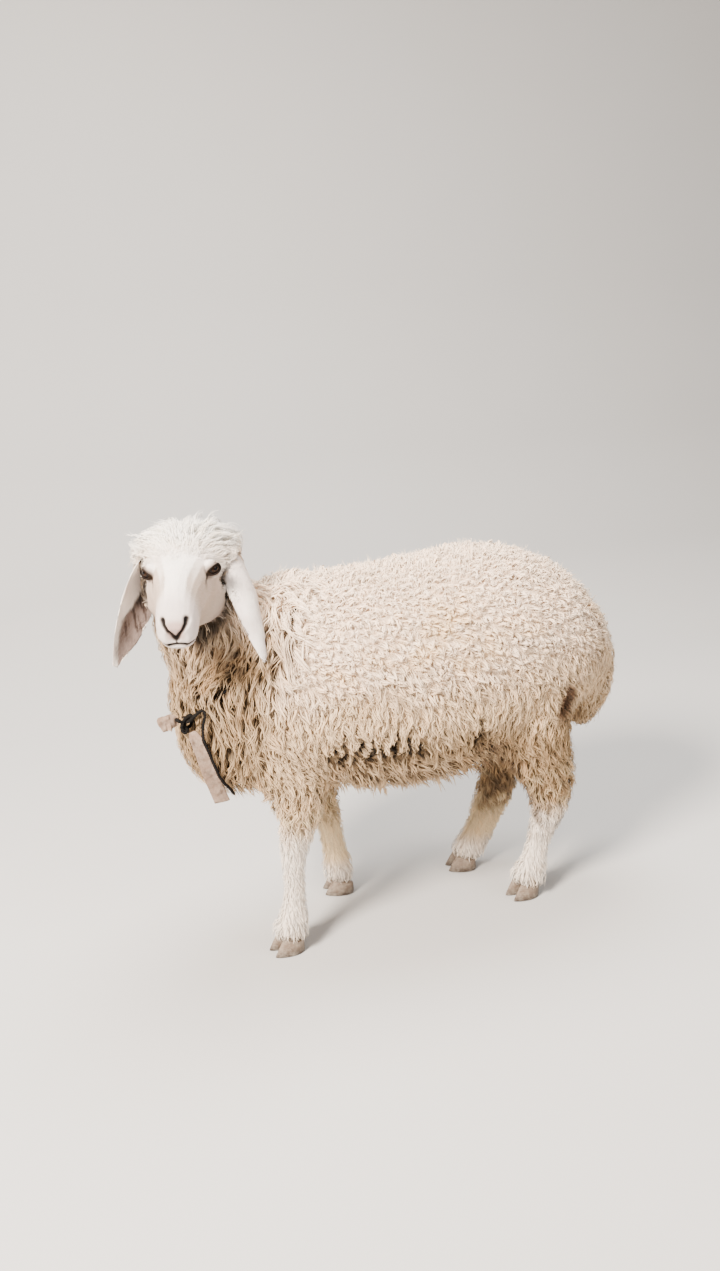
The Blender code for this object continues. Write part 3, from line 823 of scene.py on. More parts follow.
@dataclass
class EyeShape:
    """An eyeball, its opening and where it looks, in the head's axes."""

    side: float
    radius: float = 0.0135
    forward: float = 0.088
    out: float = 0.0470
    drop: float = 0.0185
    half_length: float = 0.0124
    half_height: float = 0.0058
    lift: float = 0.0012            # the opening's middle above the ball's
    pointed: float = 0.22           # how far its corners are drawn in
    gaze: tuple[float, float, float] = (0.50, 0.80, 0.33)
    corner: tuple[float, float, float] = (0.84, -0.54, -0.10)

    @property
    def centre(self) -> Array:
        """Middle of the ball."""
        return np.array((self.forward, self.side * self.out, -self.drop))

    def axes(self) -> tuple[Array, Array, Array]:
        """Where the eye looks, its front corner's direction, and up across the opening."""
        gaze = unit(np.array(self.gaze) * (1.0, self.side, 1.0))
        corner = unit(np.array(self.corner) * (1.0, self.side, 1.0))
        corner = unit(corner - gaze * (corner @ gaze))
        return gaze, corner, np.cross(gaze, corner) * self.side

    def near(self, points: Array, reach: float) -> Array:
        """Which places in the head's axes lie within reach of the ball's middle."""
        return np.linalg.norm(points - self.centre, axis=1) < reach

    def opening(self, points: Array) -> Array:
        """How far out each place is across the almond opening: 1 on its edge.

        Args:
            points: places in the head's axes.

        Returns:
            The share, large behind the ball.
        """
        gaze, corner, up = self.axes()
        offset = points - self.centre
        u = offset @ corner / self.half_length
        v = (offset @ up - self.lift) / self.half_height
        share = np.sqrt(u * u + v * v + self.pointed * np.abs(u) ** 3)
        return np.where(offset @ gaze > 0.0, share, 9.0)

    def tear_line(self, points: Array, start: float, steps: Route) -> tuple[Array, Array]:
        """Distance from the tear line that runs down from the eye's front corner.

        Args:
            points: places in the head's axes.
            start: how far from the ball's middle it starts.
            steps: how far forward, inward and down its other corners lie.

        Returns:
            The distance of each place, and its share of the way down the line.
        """
        gaze, corner, _ = self.axes()
        first = self.centre + corner * start + gaze * 0.009
        route = [first] + [first + np.array((f, -self.side * i, -d)) for f, i, d in steps]
        return curve_distance(points, route, np.tile(gaze, (len(points), 1)))


HEAD = HeadFrame()
EYES = (EyeShape(1.0, gaze=(0.64, 0.64, 0.42), corner=(0.52, -0.83, -0.20)), EyeShape(-1.0))


@dataclass(frozen=True)
class FaceLine:
    """A groove in the muzzle, given on the left and repeated on the right."""

    route: tuple[tuple[float, float, float], ...]
    width: tuple[float, float, float]       # at its start, just past its middle and at its end
    depth: tuple[float, float, float]
    # how dark the groove's painted shade is, and how far past the groove's width the shade spreads
    stain: float
    shade_spread: float

    def gap(self, points: Array, outward: Array | float = 0.0) -> tuple[Array, Array]:
        """Distance from the nearer of the two grooves, and the share of the way along it."""
        one, along_one = curve_distance(points, self.route, outward)
        two, along_two = curve_distance(points, [(f, -l, u) for f, l, u in self.route], outward)
        return np.minimum(one, two), np.where(one < two, along_one, along_two)

    @staticmethod
    def sized(along: Array, sizes: Sequence[float]) -> Array:
        """The groove's width or depth, from its start to its end."""
        return np.interp(along, (0.0, 0.55, 1.0), sizes)


NOSTRIL = FaceLine(((0.2195, 0.0190, -0.0150), (0.2255, 0.0175, -0.0205), (0.2300, 0.0120, -0.0275),
                    (0.2320, 0.0060, -0.0350), (0.2325, 0.0015, -0.0425)),
                   (0.0046, 0.0025, 0.0040), (0.0080, 0.0044, 0.0034), 0.98, 1.18)
PHILTRUM = FaceLine(((0.2325, 0.0, -0.0405), (0.2325, 0.0, -0.0530)), (0.0032, 0.0016, 0.0012),
                    (0.0026, 0.0016, 0.0012), 0.90, 1.2)
MOUTH = FaceLine(((0.2325, 0.0, -0.0535), (0.2300, 0.0120, -0.0545), (0.2215, 0.0240, -0.0565),
                  (0.2050, 0.0300, -0.0610), (0.1850, 0.0330, -0.0665)),
                 (0.0026, 0.0024, 0.0013), (0.0042, 0.0034, 0.0018), 0.97, 1.35)
FACE_LINES = (NOSTRIL, PHILTRUM, MOUTH)
NOSTRIL_WING = ((0.222, 0.0225, -0.012), (0.229, 0.0190, -0.0215), (0.2325, 0.0130, -0.0300))
# the jaw's lower edge in the head's axes, along which shadow is painted
JAW_EDGE = ((0.072, 0.0590, -0.0600), (0.084, 0.0570, -0.0850), (0.098, 0.0530, -0.1000),
            (0.108, 0.0460, -0.1110), (0.116, 0.0340, -0.1220), (0.122, 0.0160, -0.1330))


# ---------------------------------------------------------------- what grows where
class Region(IntEnum):
    """Kinds of coat, by the part of the body they cover."""

    BACK = 0
    FLANK = 1
    BELLY = 2
    CHEST = 3
    TAIL = 4
    THIGH = 5
    SHANK = 6
    CROWN = 7
    FACE = 8
    EAR = 9
    THROAT = 10


# how far the skin lies inside the coat's outline, in metres
COAT_DEPTH = {Region.BACK: 0.0080, Region.FLANK: 0.0105, Region.BELLY: 0.0150, Region.CHEST: 0.0165,
              Region.TAIL: 0.0105, Region.THIGH: 0.0070, Region.SHANK: 0.0018, Region.CROWN: 0.0110,
              Region.FACE: 0.0008, Region.EAR: 0.0003, Region.THROAT: 0.0070}
# how much painted shade darkens the coat's depths: 0 for pale down to the skin, 1 for the deep brown of
# shaded cracks
ROOT_DARKNESS = {Region.BACK: 0.0, Region.FLANK: 0.06, Region.BELLY: 0.42, Region.CHEST: 0.80,
                 Region.TAIL: 0.25, Region.THIGH: 0.45, Region.SHANK: 0.03, Region.CROWN: 0.02,
                 Region.FACE: 0.0, Region.EAR: 0.0, Region.THROAT: 0.78}


@dataclass
class Places:
    """Points on the skin with what the coat needs to know of them."""

    points: Array
    normals: Array
    on_head: Array
    on_ear: Array

    def __post_init__(self) -> None:
        """Work out the head's coordinates once."""
        self.head = HEAD.to_head(self.points)

    def take(self, index: Array) -> "Places":
        """Some of the places."""
        return Places(self.points[index], self.normals[index], self.on_head[index], self.on_ear[index])

    def spread(self, lines: Array, ups: Array) -> "Places":
        """The points of a line from each place, one after another."""
        joints = lines.shape[1]
        return Places(lines.reshape(-1, 3), ups.reshape(-1, 3), np.repeat(self.on_head, joints),
                      np.repeat(self.on_ear, joints))

    def ripple(self, size: float, seed: int) -> Array:
        """Smooth waves over the places."""
        return ripple(self.points, size, seed)


def by_region(table: dict[Region, object], shares: Array) -> Array:
    """A table's values, mixed by how much of each region there is."""
    return shares @ np.array([table[region] for region in Region])


def region_weights(at: Places) -> Array:
    """How much each kind of coat counts at each place.

    Args:
        at: the places.

    Returns:
        One row for each place and one column for each Region, adding up to one.
    """
    x, y, z = at.points.T
    forward, left, rise = at.head.T
    wander, edge = at.ripple(0.11, 5) * 0.022, at.ripple(0.018, 6) * 0.005
    weights = np.zeros((len(x), len(Region)))
    body = 1.0 - np.maximum(at.on_head, at.on_ear)
    leg = ease(0.300, 0.262, z)
    shank_top = np.where(x > 0.0, 0.232, 0.186) + np.where(y < 0.0, np.where(x > 0.0, -0.060, -0.045), 0.0)
    shank = ease(0.030, -0.034, z - shank_top + at.ripple(0.02, 7) * 0.010)
    weights[:, Region.SHANK] = body * leg * shank
    weights[:, Region.THIGH] = body * leg * (1.0 - shank)
    tail = ease(-0.385, -0.415, x + wander * 0.3) * ease(0.28, 0.34, z) * ease(0.56, 0.50, z)
    belly = ease(0.30, 0.75, -at.normals[:, 2]) * ease(0.40, 0.35, z) * (1.0 - leg)
    neck = ease(0.205, 0.275, x + 0.30 * (z - 0.45) + wander * 0.5)
    low = ease(0.535, 0.455, z + wander)
    rest = body * (1.0 - leg)
    for region, share in ((Region.TAIL, tail), (Region.BELLY, belly), (Region.CHEST, neck),
                          (Region.FLANK, low)):
        weights[:, region] = rest * share
        rest = rest * (1.0 - share)
    weights[:, Region.BACK] = rest
    crown = ease(0.100, 0.020, forward + edge + 0.60 * np.maximum(np.abs(left) - 0.040, 0.0))
    crown = crown * ease(-0.056, -0.030, rise + edge)
    jaw = ease(0.086, 0.066, forward + edge) * ease(-0.034, -0.056, rise)
    under = ease(0.130, 0.100, forward + edge) * ease(-0.108, -0.122, rise)
    throat = np.maximum(jaw, under) * (1.0 - crown)
    head = at.on_head * (1.0 - at.on_ear)
    weights[:, Region.CROWN] = head * crown
    weights[:, Region.THROAT] = head * throat
    weights[:, Region.FACE] = head * (1.0 - crown - throat)
    weights[:, Region.EAR] = at.on_ear
    return weights / np.maximum(weights.sum(axis=1, keepdims=True), 1e-6)


def lie_of_coat(at: Places) -> Array:
    """The way the coat lies at each place, along the skin.

    Args:
        at: the places.

    Returns:
        A unit vector for each place.
    """
    y, left = at.points[:, 1], at.head[:, 1]
    side = np.sign(y) * ease(0.0, 0.07, np.abs(y))
    zero, one = np.zeros(len(y)), np.ones(len(y))
    flows = {
        Region.BACK: (-0.55 * one, 0.55 * side, -0.75 * one),
        Region.FLANK: (-0.20 + 0.35 * at.ripple(0.16, 8), zero, -one),
        Region.BELLY: (-0.8 * one, -0.5 * side, -0.3 * one),
        Region.CHEST: (0.10 + 0.25 * at.ripple(0.10, 9), 0.2 * at.ripple(0.12, 10), -one),
        Region.TAIL: (0.15 * one, 0.15 * side, -one),
        Region.THIGH: (-0.30 * one, zero, -one),
        Region.SHANK: (-0.10 * one, zero, -one),
        Region.CROWN: (-0.55 * one, left * 15.0, -5.0 * np.abs(left)),
        Region.FACE: (-0.9 * one, left * 9.0, -0.35 * one),
        Region.THROAT: (0.05 * one, 0.15 * at.ripple(0.08, 11), -one),
        Region.EAR: (zero, zero, -one)}
    weights = region_weights(at)
    total = np.zeros((len(y), 3))
    for region, flow in flows.items():
        way = unit(np.stack(flow, axis=1))
        if region in (Region.CROWN, Region.FACE):
            way = unit(HEAD.turned(way))
        total += way * weights[:, region][:, None]
    return along_skin(total + 1e-4 * np.array((0.3, 0.1, -1.0)), at.normals)


@dataclass(frozen=True)
class CoatColours:
    """The animal's colours, top to toe, with painted light and shade among them."""

    cream: Colour = (0.96, 0.760, 0.580)
    gold: Colour = (0.86, 0.610, 0.345)
    tan: Colour = (0.70, 0.500, 0.300)
    straw: Colour = (0.92, 0.720, 0.450)
    low_tan: Colour = (0.42, 0.280, 0.150)
    ochre: Colour = (0.32, 0.200, 0.100)
    # brown: the inner thighs and the fold before the thigh, and painted shade under the jaw
    brown: Colour = (0.070, 0.033, 0.014)
    stain: Colour = (0.085, 0.036, 0.014)
    # deep: the tear lines, and painted shadow in the wool's cracks, along and behind the jaw and before the
    # ears
    deep: Colour = (0.014, 0.008, 0.004)
    # lid: the lids' skin, darkened with painted shade round the eyes
    lid: Colour = (0.16, 0.100, 0.075)
    ear_pink: Colour = (0.115, 0.068, 0.055)
    crown: Colour = (0.97, 0.920, 0.840)
    face: Colour = (0.96, 0.895, 0.835)
    # lilac: the muzzle's and ears' grey-pink, and painted shade beside the eyes
    lilac: Colour = (0.60, 0.500, 0.485)
    cheek: Colour = (0.50, 0.320, 0.190)
    # shade: painted shade on the sides and underside of the face
    shade: Colour = (0.46, 0.330, 0.245)
    pink: Colour = (0.40, 0.265, 0.230)
    inner_ear: Colour = (0.020, 0.011, 0.008)
    # dark: the eye rims, and painted shade in the nose's and mouth's grooves and in the ears' hollows
    dark: Colour = (0.0045, 0.0026, 0.0020)
    sock: Colour = (0.92, 0.820, 0.720)

    def markings_and_shade(self, at: Places) -> Array:
        """The coat's colour at each place, the same for skin and strands, with painted light and shade laid
        into it.

        Args:
            at: the places.

        Returns:
            Linear colours, one row for each place.
        """
        weights, small = region_weights(at), at.ripple(0.030, 22)
        base = Paint(self.cream, len(at.points))
        self.fleece(base, at, weights, small)
        self.legs(base, at, weights, small)
        self.tail_stain_and_fold(base, at, small)
        self.head(base, at, weights)
        self.ears(base, at, weights[:, Region.EAR])
        return base.colours

    def fleece(self, base: Paint, at: Places, weights: Array, small: Array) -> None:
        """Colour the body: cream above, golden where it is worn, tan and ochre below and in front, with a
        paler lower fringe, partly painted light, and painted shadow in the wool's cracks.
        """
        x, y, z = at.points.T
        patch = at.ripple(0.10, 21)
        level = z + 0.020 * patch + 0.008 * small
        base.lay(self.gold, 0.55 * ease(0.1, 1.1, patch) * ease(0.62, 0.52, z))
        base.lay(self.tan, 0.85 * ease(0.55, 0.43, level))
        worn = bump(x, -0.075, 0.050) * bump(z, 0.590, 0.040) + 0.8 * bump(x, 0.0, 0.05) * bump(z, 0.55, 0.03)
        base.lay(self.gold, 0.75 * np.minimum(worn, 1.0) * ease(-0.9, 0.3, small))
        # the lower fringe stays paler: partly its own lighter hair, partly painted light where sun falls on
        # it
        fringe = ease(0.370, 0.345, z) * (weights[:, Region.FLANK] + weights[:, Region.BELLY])
        fringe = 0.60 * fringe * ease(-0.13, -0.07, x)
        pale = np.maximum(np.maximum(0.6 * weights[:, Region.TAIL], fringe),
                          0.75 * bump(x, 0.200, 0.085) * (y > 0.0))
        base.lay(self.low_tan, 0.90 * ease(0.435, 0.355, level) * (1.0 - pale))
        base.lay(self.ochre, 0.70 * ease(0.39, 0.30, level) * ease(-0.4, 0.5, small) * (1.0 - pale))
        chest = weights[:, Region.CHEST] + weights[:, Region.THROAT]
        base.lay(self.low_tan, 0.80 * chest * ease(0.64, 0.56, level))
        base.lay(self.ochre, 0.80 * chest * ease(0.1, 0.9, patch + 0.6 * small) * ease(0.66, 0.58, level))
        base.lay(self.ochre, 0.20 * weights[:, Region.BELLY])
        # painted shadow in the wool's cracks and creases
        base.lay(self.deep, 0.94 * partings(at))

    def legs(self, base: Paint, at: Places, weights: Array, small: Array) -> None:
        """Colour the legs: woolly tan above, white socks, tan far legs."""
        x, y, z = at.points.T
        thigh, shank = weights[:, Region.THIGH], weights[:, Region.SHANK]
        base.lay(self.ochre, np.where(x > 0.0, 0.05, 0.55) * thigh)
        base.lay(self.straw, np.where(x > 0.0, 0.65, 0.35) * thigh * ease(-0.4, 0.5, small))
        sock = np.where(y < -0.01, ease(0.085, 0.045, z), 1.0)
        base.lay(self.tan, shank)
        base.lay(self.straw, shank * (1.0 - sock) * 0.85)
        base.lay(self.sock, shank * sock * 0.95)
        inner = ease(0.094, 0.074, np.abs(y)) * ease(0.105, 0.150, z) * ease(0.36, 0.29, z)
        base.lay(self.brown, 0.72 * inner * (x < -0.15) * ease(-1.0, 0.2, small))
        base.lay(self.cheek, 0.35 * (ease(0.060, 0.020, z) * ease(-0.3, 0.8, small)))

    def tail_stain_and_fold(self, base: Paint, at: Places, small: Array) -> None:
        """Colour the dirty wool beside the tail, and the fold before the thigh dark brown."""
        x, y, z = at.points.T
        dirty = bump(beside_tail(at), -0.330, 0.016) * bump(z, 0.412, 0.034) * (y > 0.0)
        base.lay(self.stain, 0.94 * np.clip(1.6 * dirty + 0.30 * small * (dirty > 0.05), 0.0, 1.0))
        fold = bump(x, -0.152, 0.032) * bump(z, 0.342, 0.034) * ease(0.04, 0.09, np.abs(y))
        base.lay(self.brown, 0.85 * fold * ease(-0.6, 0.4, small))

    def head(self, base: Paint, at: Places, weights: Array) -> None:
        """Colour the crown, face, jaw and throat, with painted shade on the face's sides, round the eyes and
        under the jaw, and painted shadow along and behind the jaw.
        """
        forward, left, rise = at.head.T
        wide = np.abs(left)
        face, low = weights[:, Region.FACE], at.points[:, 2] < 0.70
        base.lay(self.crown, weights[:, Region.CROWN])
        base.lay(self.face, face)
        # painted shade on the face's sides and underside, where they turn from the light
        sideways = np.abs(HEAD.facing(at.normals)[:, 1])
        side = np.maximum(ease(-0.028, -0.060, rise), ease(0.40, 0.85, sideways)) * face
        base.lay(self.shade, 0.80 * side * ease(0.225, 0.160, forward) * ease(0.060, 0.092, forward))
        base.lay(self.lilac, 0.62 * face * ease(0.160, 0.210, forward))
        pad = face * ease(0.218, 0.228, forward) * ease(-0.048, -0.040, rise) * ease(-0.008, -0.018, rise)
        base.lay(self.pink, 0.80 * pad * ease(0.018, 0.008, wide))
        # painted lilac-grey shade between the eye and the ear's root
        base.lay(self.lilac, 0.35 * face * bump(wide, 0.040, 0.014) * bump(forward, 0.075, 0.03))
        # painted shade under the jaw
        base.lay(self.brown, 0.60 * face * ease(-0.100, -0.125, rise) * ease(0.17, 0.12, forward))
        # painted shadow behind the jaw, along its lower edge and in the hollow between cheek and ear
        behind = weights[:, Region.THROAT] * ease(-0.105, -0.085, rise) * ease(0.048, 0.060, forward)
        gap, _ = curve_distance(np.stack([forward, wide, rise], axis=1), JAW_EDGE)
        below = ease(0.0130, 0.0060, gap) * np.where(at.on_head > 0.5, face < 0.5, low)
        below = np.maximum(below, low * (at.on_head < 0.5) * ease(0.026, 0.014, gap))
        hollow = np.linalg.norm(at.head - np.array((0.0735, -0.0500, -0.0600)), axis=1)
        below = np.maximum(below, ease(0.016, 0.008, hollow))
        base.lay(self.deep, 0.88 * np.maximum(behind, below) * (1.0 - at.on_ear))
        self.features(base, at, face)

    def features(self, base: Paint, at: Places, face: Array) -> None:
        """Colour the eye rims with painted shade round them, the tear lines, and the nostrils and mouth, dark
        with painted shade in their grooves.
        """
        for eye in EYES:
            share = eye.opening(at.head)
            near = at.on_head * eye.near(at.head, 0.030)
            # the lids' skin, darkened with painted shade round the eye
            base.lay(self.lid, 0.75 * near * ease(2.5, 1.5, share))
            base.lay(self.dark, 0.97 * near * ease(1.58, 1.30, share))
            gap, along = eye.tear_line(at.head, 0.0125, ((0.008, 0.011, 0.010), (0.018, 0.014, 0.024)))
            base.lay(self.deep, 0.95 * face * ease(0.0052, 0.0018, gap) * ease(0.95, 0.20, along))
        forward, left, rise = at.head.T
        outward = unit(np.stack([np.maximum(forward - 0.185, 0.0), left, rise + 0.036], axis=1))
        # painted shade: the nostrils, the nose's V and the mouth line darkened in their grooves
        for line in FACE_LINES:
            gap, along = line.gap(at.head, outward)
            wide = line.sized(along, line.width) * line.shade_spread
            base.lay(self.dark, line.stain * face * ease(1.25, 0.55, gap / wide))

    def ears(self, base: Paint, at: Places, ear: Array) -> None:
        """Colour the ears: pale outside and along the rolled front rim, dim and streaked within, with painted
        shade in the hollow near the root.
        """
        facing, z = HEAD.facing(at.normals), at.points[:, 2]
        on_right = at.head[:, 1] < 0.0
        inner = ease(0.05, 0.45, -facing[:, 1] * np.sign(at.head[:, 1]))
        streak = ripple(at.points * np.array((1.0, 1.0, 0.14)), 0.0065, 31)
        edge = np.interp(z, (0.593, 0.618, 0.642, 0.652, 0.663, 0.680),
                         (0.424, 0.419, 0.412, 0.402, 0.395, 0.384))
        rolled = ease(-0.002, 0.004, slant(at.points) - edge + 0.0016 * streak) * on_right
        front = ease(-0.10, 0.20, facing @ np.array((0.75, 0.30, 0.25))) * on_right
        inner = np.maximum(inner, front) * (1.0 - rolled)
        base.lay(self.face, ear)
        base.lay(self.lilac, 0.45 * ear * (1.0 - inner) * ease(-0.8, 0.6, at.ripple(0.05, 32)))
        base.lay(self.ear_pink, 0.90 * ear * inner)
        base.lay(self.inner_ear, 0.85 * ear * inner * ease(-0.1, 0.9, streak) * ease(0.585, 0.625, z))
        # painted shade in the hollow near the top of the ear's inner side
        base.lay(self.dark, 0.85 * ear * (inner * ease(0.640, 0.668, z)))


def beside_tail(at: Places) -> Array:
    """How far forward each place is of the leaning gap between thigh and tail."""
    return slant(at.points) + 0.20 * (at.points[:, 2] - 0.415)


@dataclass(frozen=True)
class FlankCracks:
    """The upright cracks of the lower side, over a ledge above the fringe; heights and lengths in metres."""

    pitch: float = 0.022
    foot: tuple[float, float] = (0.366, 0.374)      # where it fades out
    top: float = 0.404
    taller: float = 0.042           # how much higher the tallest goes
    half_width: float = 0.0014
    wider: float = 0.0030           # how much wider it is at its foot
    ledge: float = 0.379

    def depth(self, at: Places) -> Array:
        """How deep each place is in a crack, 1 in its middle."""
        x, y, z = at.points.T
        cell = (x + 0.006 * at.ripple(0.035, 24)) / self.pitch
        chance = np.abs(np.sin(np.floor(cell) * 12.9898 + np.sign(y) * 4.1)) * 43.7585 % 1.0
        off = np.abs(cell - np.floor(cell) - 0.5) * self.pitch
        top = self.top + self.taller * chance
        wide = self.half_width + self.wider * ease(top, 0.385, z)
        upright = ease(wide + 0.0014, wide, off) * ease(top, top - 0.012, z)
        upright = upright * ease(*self.foot, z)
        ledge = bump(z + 0.005 * at.ripple(0.03, 23), self.ledge, 0.0045)
        ledge = ledge * ease(-0.1, 0.3, at.ripple(0.025, 27))
        strong = ease(-0.040, -0.015, x) + 0.75 * ease(-0.040, -0.060, x) * (chance > 0.45)
        return np.maximum(upright, ledge) * (strong * ease(0.170, 0.150, x) * ease(-0.150, -0.120, x))


def partings(at: Places) -> Array:
    """Where the wool parts in deep cracks and shallower creases, which are also painted dark as shadow.

    Args:
        at: the places.

    Returns:
        1 in the middle of a crack, 0 away from them.
    """
    x, y, z = at.points.T
    weights = region_weights(at)
    sides = FlankCracks().depth(at) * (weights[:, Region.FLANK] + weights[:, Region.BELLY])
    stretched = (at.points + 0.012 * at.ripple(0.05, 28)[:, None]) * np.array((1.0, 1.0, 0.24))
    lines = ease(0.15, 0.05, np.abs(ripple(stretched, 0.019, 23)))
    front = (weights[:, Region.CHEST] + weights[:, Region.THROAT]) * ease(0.64, 0.58, z)
    front = front * ease(-0.3, 0.5, at.ripple(0.07, 26)) * ease(0.21, 0.27, x)
    creases = ease(0.08, 0.02, np.abs(ripple(at.points * np.array((0.55, 1.0, 1.0)), 0.046, 35)))
    creases = creases * ease(0.15, 0.60, at.ripple(0.075, 36)) * ease(0.43, 0.46, z)
    creases = creases * (weights[:, Region.BACK] + weights[:, Region.FLANK])
    # the gap beside the tail and the line where the face meets the throat, dark with painted shadow
    tail_gap = bump(beside_tail(at), -0.328, 0.004) * bump(z, 0.415, 0.028) * (y > 0.0)
    jaw = 4.0 * weights[:, Region.FACE] * weights[:, Region.THROAT]
    deepest = np.maximum.reduce([sides, 0.85 * lines * front, 0.26 * creases, tail_gap, 0.9 * jaw])
    return np.clip(deepest, 0.0, 1.0)


def root_darkness(at: Places) -> Array:
    """How much painted shade darkens the coat's depths at each place: 0 for pale, 1 for deep brown."""
    weights = region_weights(at)
    x, _, z = at.points.T
    nape = ease(0.54, 0.62, z) * ease(0.33, 0.27, x)
    dark = by_region(ROOT_DARKNESS, weights) * (1.0 - 0.85 * nape)
    low = ease(0.43, 0.36, z + 0.015 * at.ripple(0.06, 33))
    low = low * (weights[:, Region.FLANK] + weights[:, Region.BELLY])
    return np.clip(dark + 0.40 * low + 0.8 * partings(at), 0.0, 1.0)


# ---------------------------------------------------------------- the skin
@dataclass
class Skin:
    """One closed skin under the coat, with the face, lids and ears sculpted in it."""

    body_voxel: float = 0.0074
    head_voxel: float = 0.0017
    lid_thickness: float = 0.0022
    contact: float = 0.0007         # how near the head or an ear counts as on it

    body_nodes = ("trunk", "neck", "tail", *(f"leg_{end}_{side}_{part}" for end in ("front", "hind")
                                            for side in ("left", "right") for part in ("upper", "lower")))
    ear_nodes = ("ear_left", "ear_right")

    def build(self) -> None:
        """Make the whole skin, one closed mesh."""
        head = self.build_head()
        log.info("head: %d faces", len(head.data.polygons))
        self.head_tree = surface_tree(head)
        ears = [self.build_ear(name) for name in self.ear_nodes]
        self.ear_trees = [surface_tree(ear) for ear in ears]
        skin = self.build_body()
        log.info("body: %d faces", len(skin.data.polygons))
        for part in (head, *ears):
            boolean(skin, part, "UNION")
        skin.name = "skin"
        self.skin = self.tidy(skin)
        log.info("skin: %d faces", len(skin.data.polygons))

    @staticmethod
    def tidy(obj: Object) -> Object:
        """Triangulate and keep the one outer shell."""
        with editing(obj.data) as work:
            bmesh.ops.triangulate(work, faces=work.faces)
            work.verts.index_update()
            work.verts.ensure_lookup_table()
            seen = np.zeros(len(work.verts), dtype=bool)
            islands = []
            for start in work.verts:
                if seen[start.index]:
                    continue
                stack, island = [start], []
                seen[start.index] = True
                while stack:
                    vertex = stack.pop()
                    island.append(vertex)
                    for other in (edge.other_vert(vertex) for edge in vertex.link_edges):
                        if not seen[other.index]:
                            seen[other.index] = True
                            stack.append(other)
                islands.append(island)
            islands.sort(key=len)
            loose = [vertex for island in islands[:-1] for vertex in island]
            bmesh.ops.delete(work, geom=loose, context="VERTS")
            if work.calc_volume(signed=True) < 0.0:
                bmesh.ops.reverse_faces(work, faces=work.faces)
        obj.data.shade_smooth()
        return obj

    def build_body(self) -> Object:
        """The body's shell, sunk by the coat's depth, with a rough head inside the fine one."""
        copies = [merged_copy(node, 0.0009) for node in (*self.body_nodes, "head")]
        shell = remeshed(joined("body_shell", copies), self.body_voxel, 3)
        points, normals = points_of(shell), normals_of(shell)
        gaps = np.array([(self.head_tree.find_nearest(Vector(p))[3] or 1.0) for p in points])
        on_head = ease(0.030, 0.012, gaps) * ease(0.60, 0.64, points[:, 2])
        at = Places(points, normals, np.zeros(len(points)), np.zeros(len(points)))
        depth = by_region(COAT_DEPTH, region_weights(at)) * (1.0 - on_head) + 0.024 * on_head
        depth = depth - 0.012 * (ease(0.035, 0.060, at.head[:, 0]) * on_head)
        set_points(shell, self.sculpt_legs(points - normals * depth[:, None], normals))
        return remeshed(shell, self.body_voxel, 2)

    @staticmethod
    def sculpt_legs(points: Array, normals: Array) -> Array:
        """Shape knees, tendons and fetlocks under the short hair of the lower legs."""
        x, _, z = points.T
        knee = bump(z, 0.185, 0.018) * (x > 0.0) * np.clip(normals[:, 0], 0.0, 1.0) * 0.0016
        tendon = bump(z, 0.125, 0.030) * bump(normals[:, 0], -0.15, 0.35) * -0.0012
        dew = bump(z, 0.066, 0.009) * np.clip(-normals[:, 0], 0.0, 1.0) * 0.0030
        pastern = bump(z, 0.046, 0.008) * -0.0008
        return points + normals * (knee + tendon + dew + pastern)[:, None]

    def build_head(self) -> Object:
        """The fine head: muzzle, lids, cheeks and brow, sunk under the crown's wool."""
        parts = [merged_copy("head")]
        parts += [self.lid_ball(eye) for eye in EYES]
        parts += [self.ear_root(merged_copy(name, 0.0010)) for name in self.ear_nodes]
        head = remeshed(joined("head_fine", parts), self.head_voxel, 6)
        points, normals = points_of(head), normals_of(head)
        facing = HEAD.facing(normals)
        at = Places(points, normals, np.ones(len(points)), np.zeros(len(points)))
        local = at.head - facing * by_region(COAT_DEPTH, region_weights(at))[:, None]
        set_points(head, HEAD.to_world(self.sculpt_face(local, facing)))
        for eye in EYES:
            boolean(head, self.lid_cutter(eye), "DIFFERENCE")
        return head

    def lid_ball(self, eye: EyeShape) -> Object:
        """A ball a lid's thickness larger than the eye."""
        work = bmesh.new()
        bmesh.ops.create_icosphere(work, subdivisions=4, radius=eye.radius + self.lid_thickness)
        work.transform(Matrix.Translation(Vector(HEAD.to_world(eye.centre[None])[0])))
        return put_down("ball", work)

    @staticmethod
    def ear_root(root: Object) -> Object:
        """Keep only the top of an ear, as a plain lump drawn a little into the head."""
        rise = HEAD.to_head(points_of(root))[:, 2]
        low = np.flatnonzero(rise <= rise.max() - 0.040)
        middle = Vector(HEAD.to_world(np.array([[0.02, 0.0, -0.03]]))[0])
        with editing(root.data) as work:
            work.verts.ensure_lookup_table()
            bmesh.ops.delete(work, geom=[work.verts[i] for i in low], context="VERTS")
            bmesh.ops.convex_hull(work, input=work.verts, use_existing_faces=False)
            loose = [vertex for vertex in work.verts if not vertex.link_faces]
            bmesh.ops.delete(work, geom=loose, context="VERTS")
            bmesh.ops.recalc_face_normals(work, faces=work.faces)
            for vertex in work.verts:
                vertex.co = vertex.co + (middle - vertex.co) * 0.25
        return root

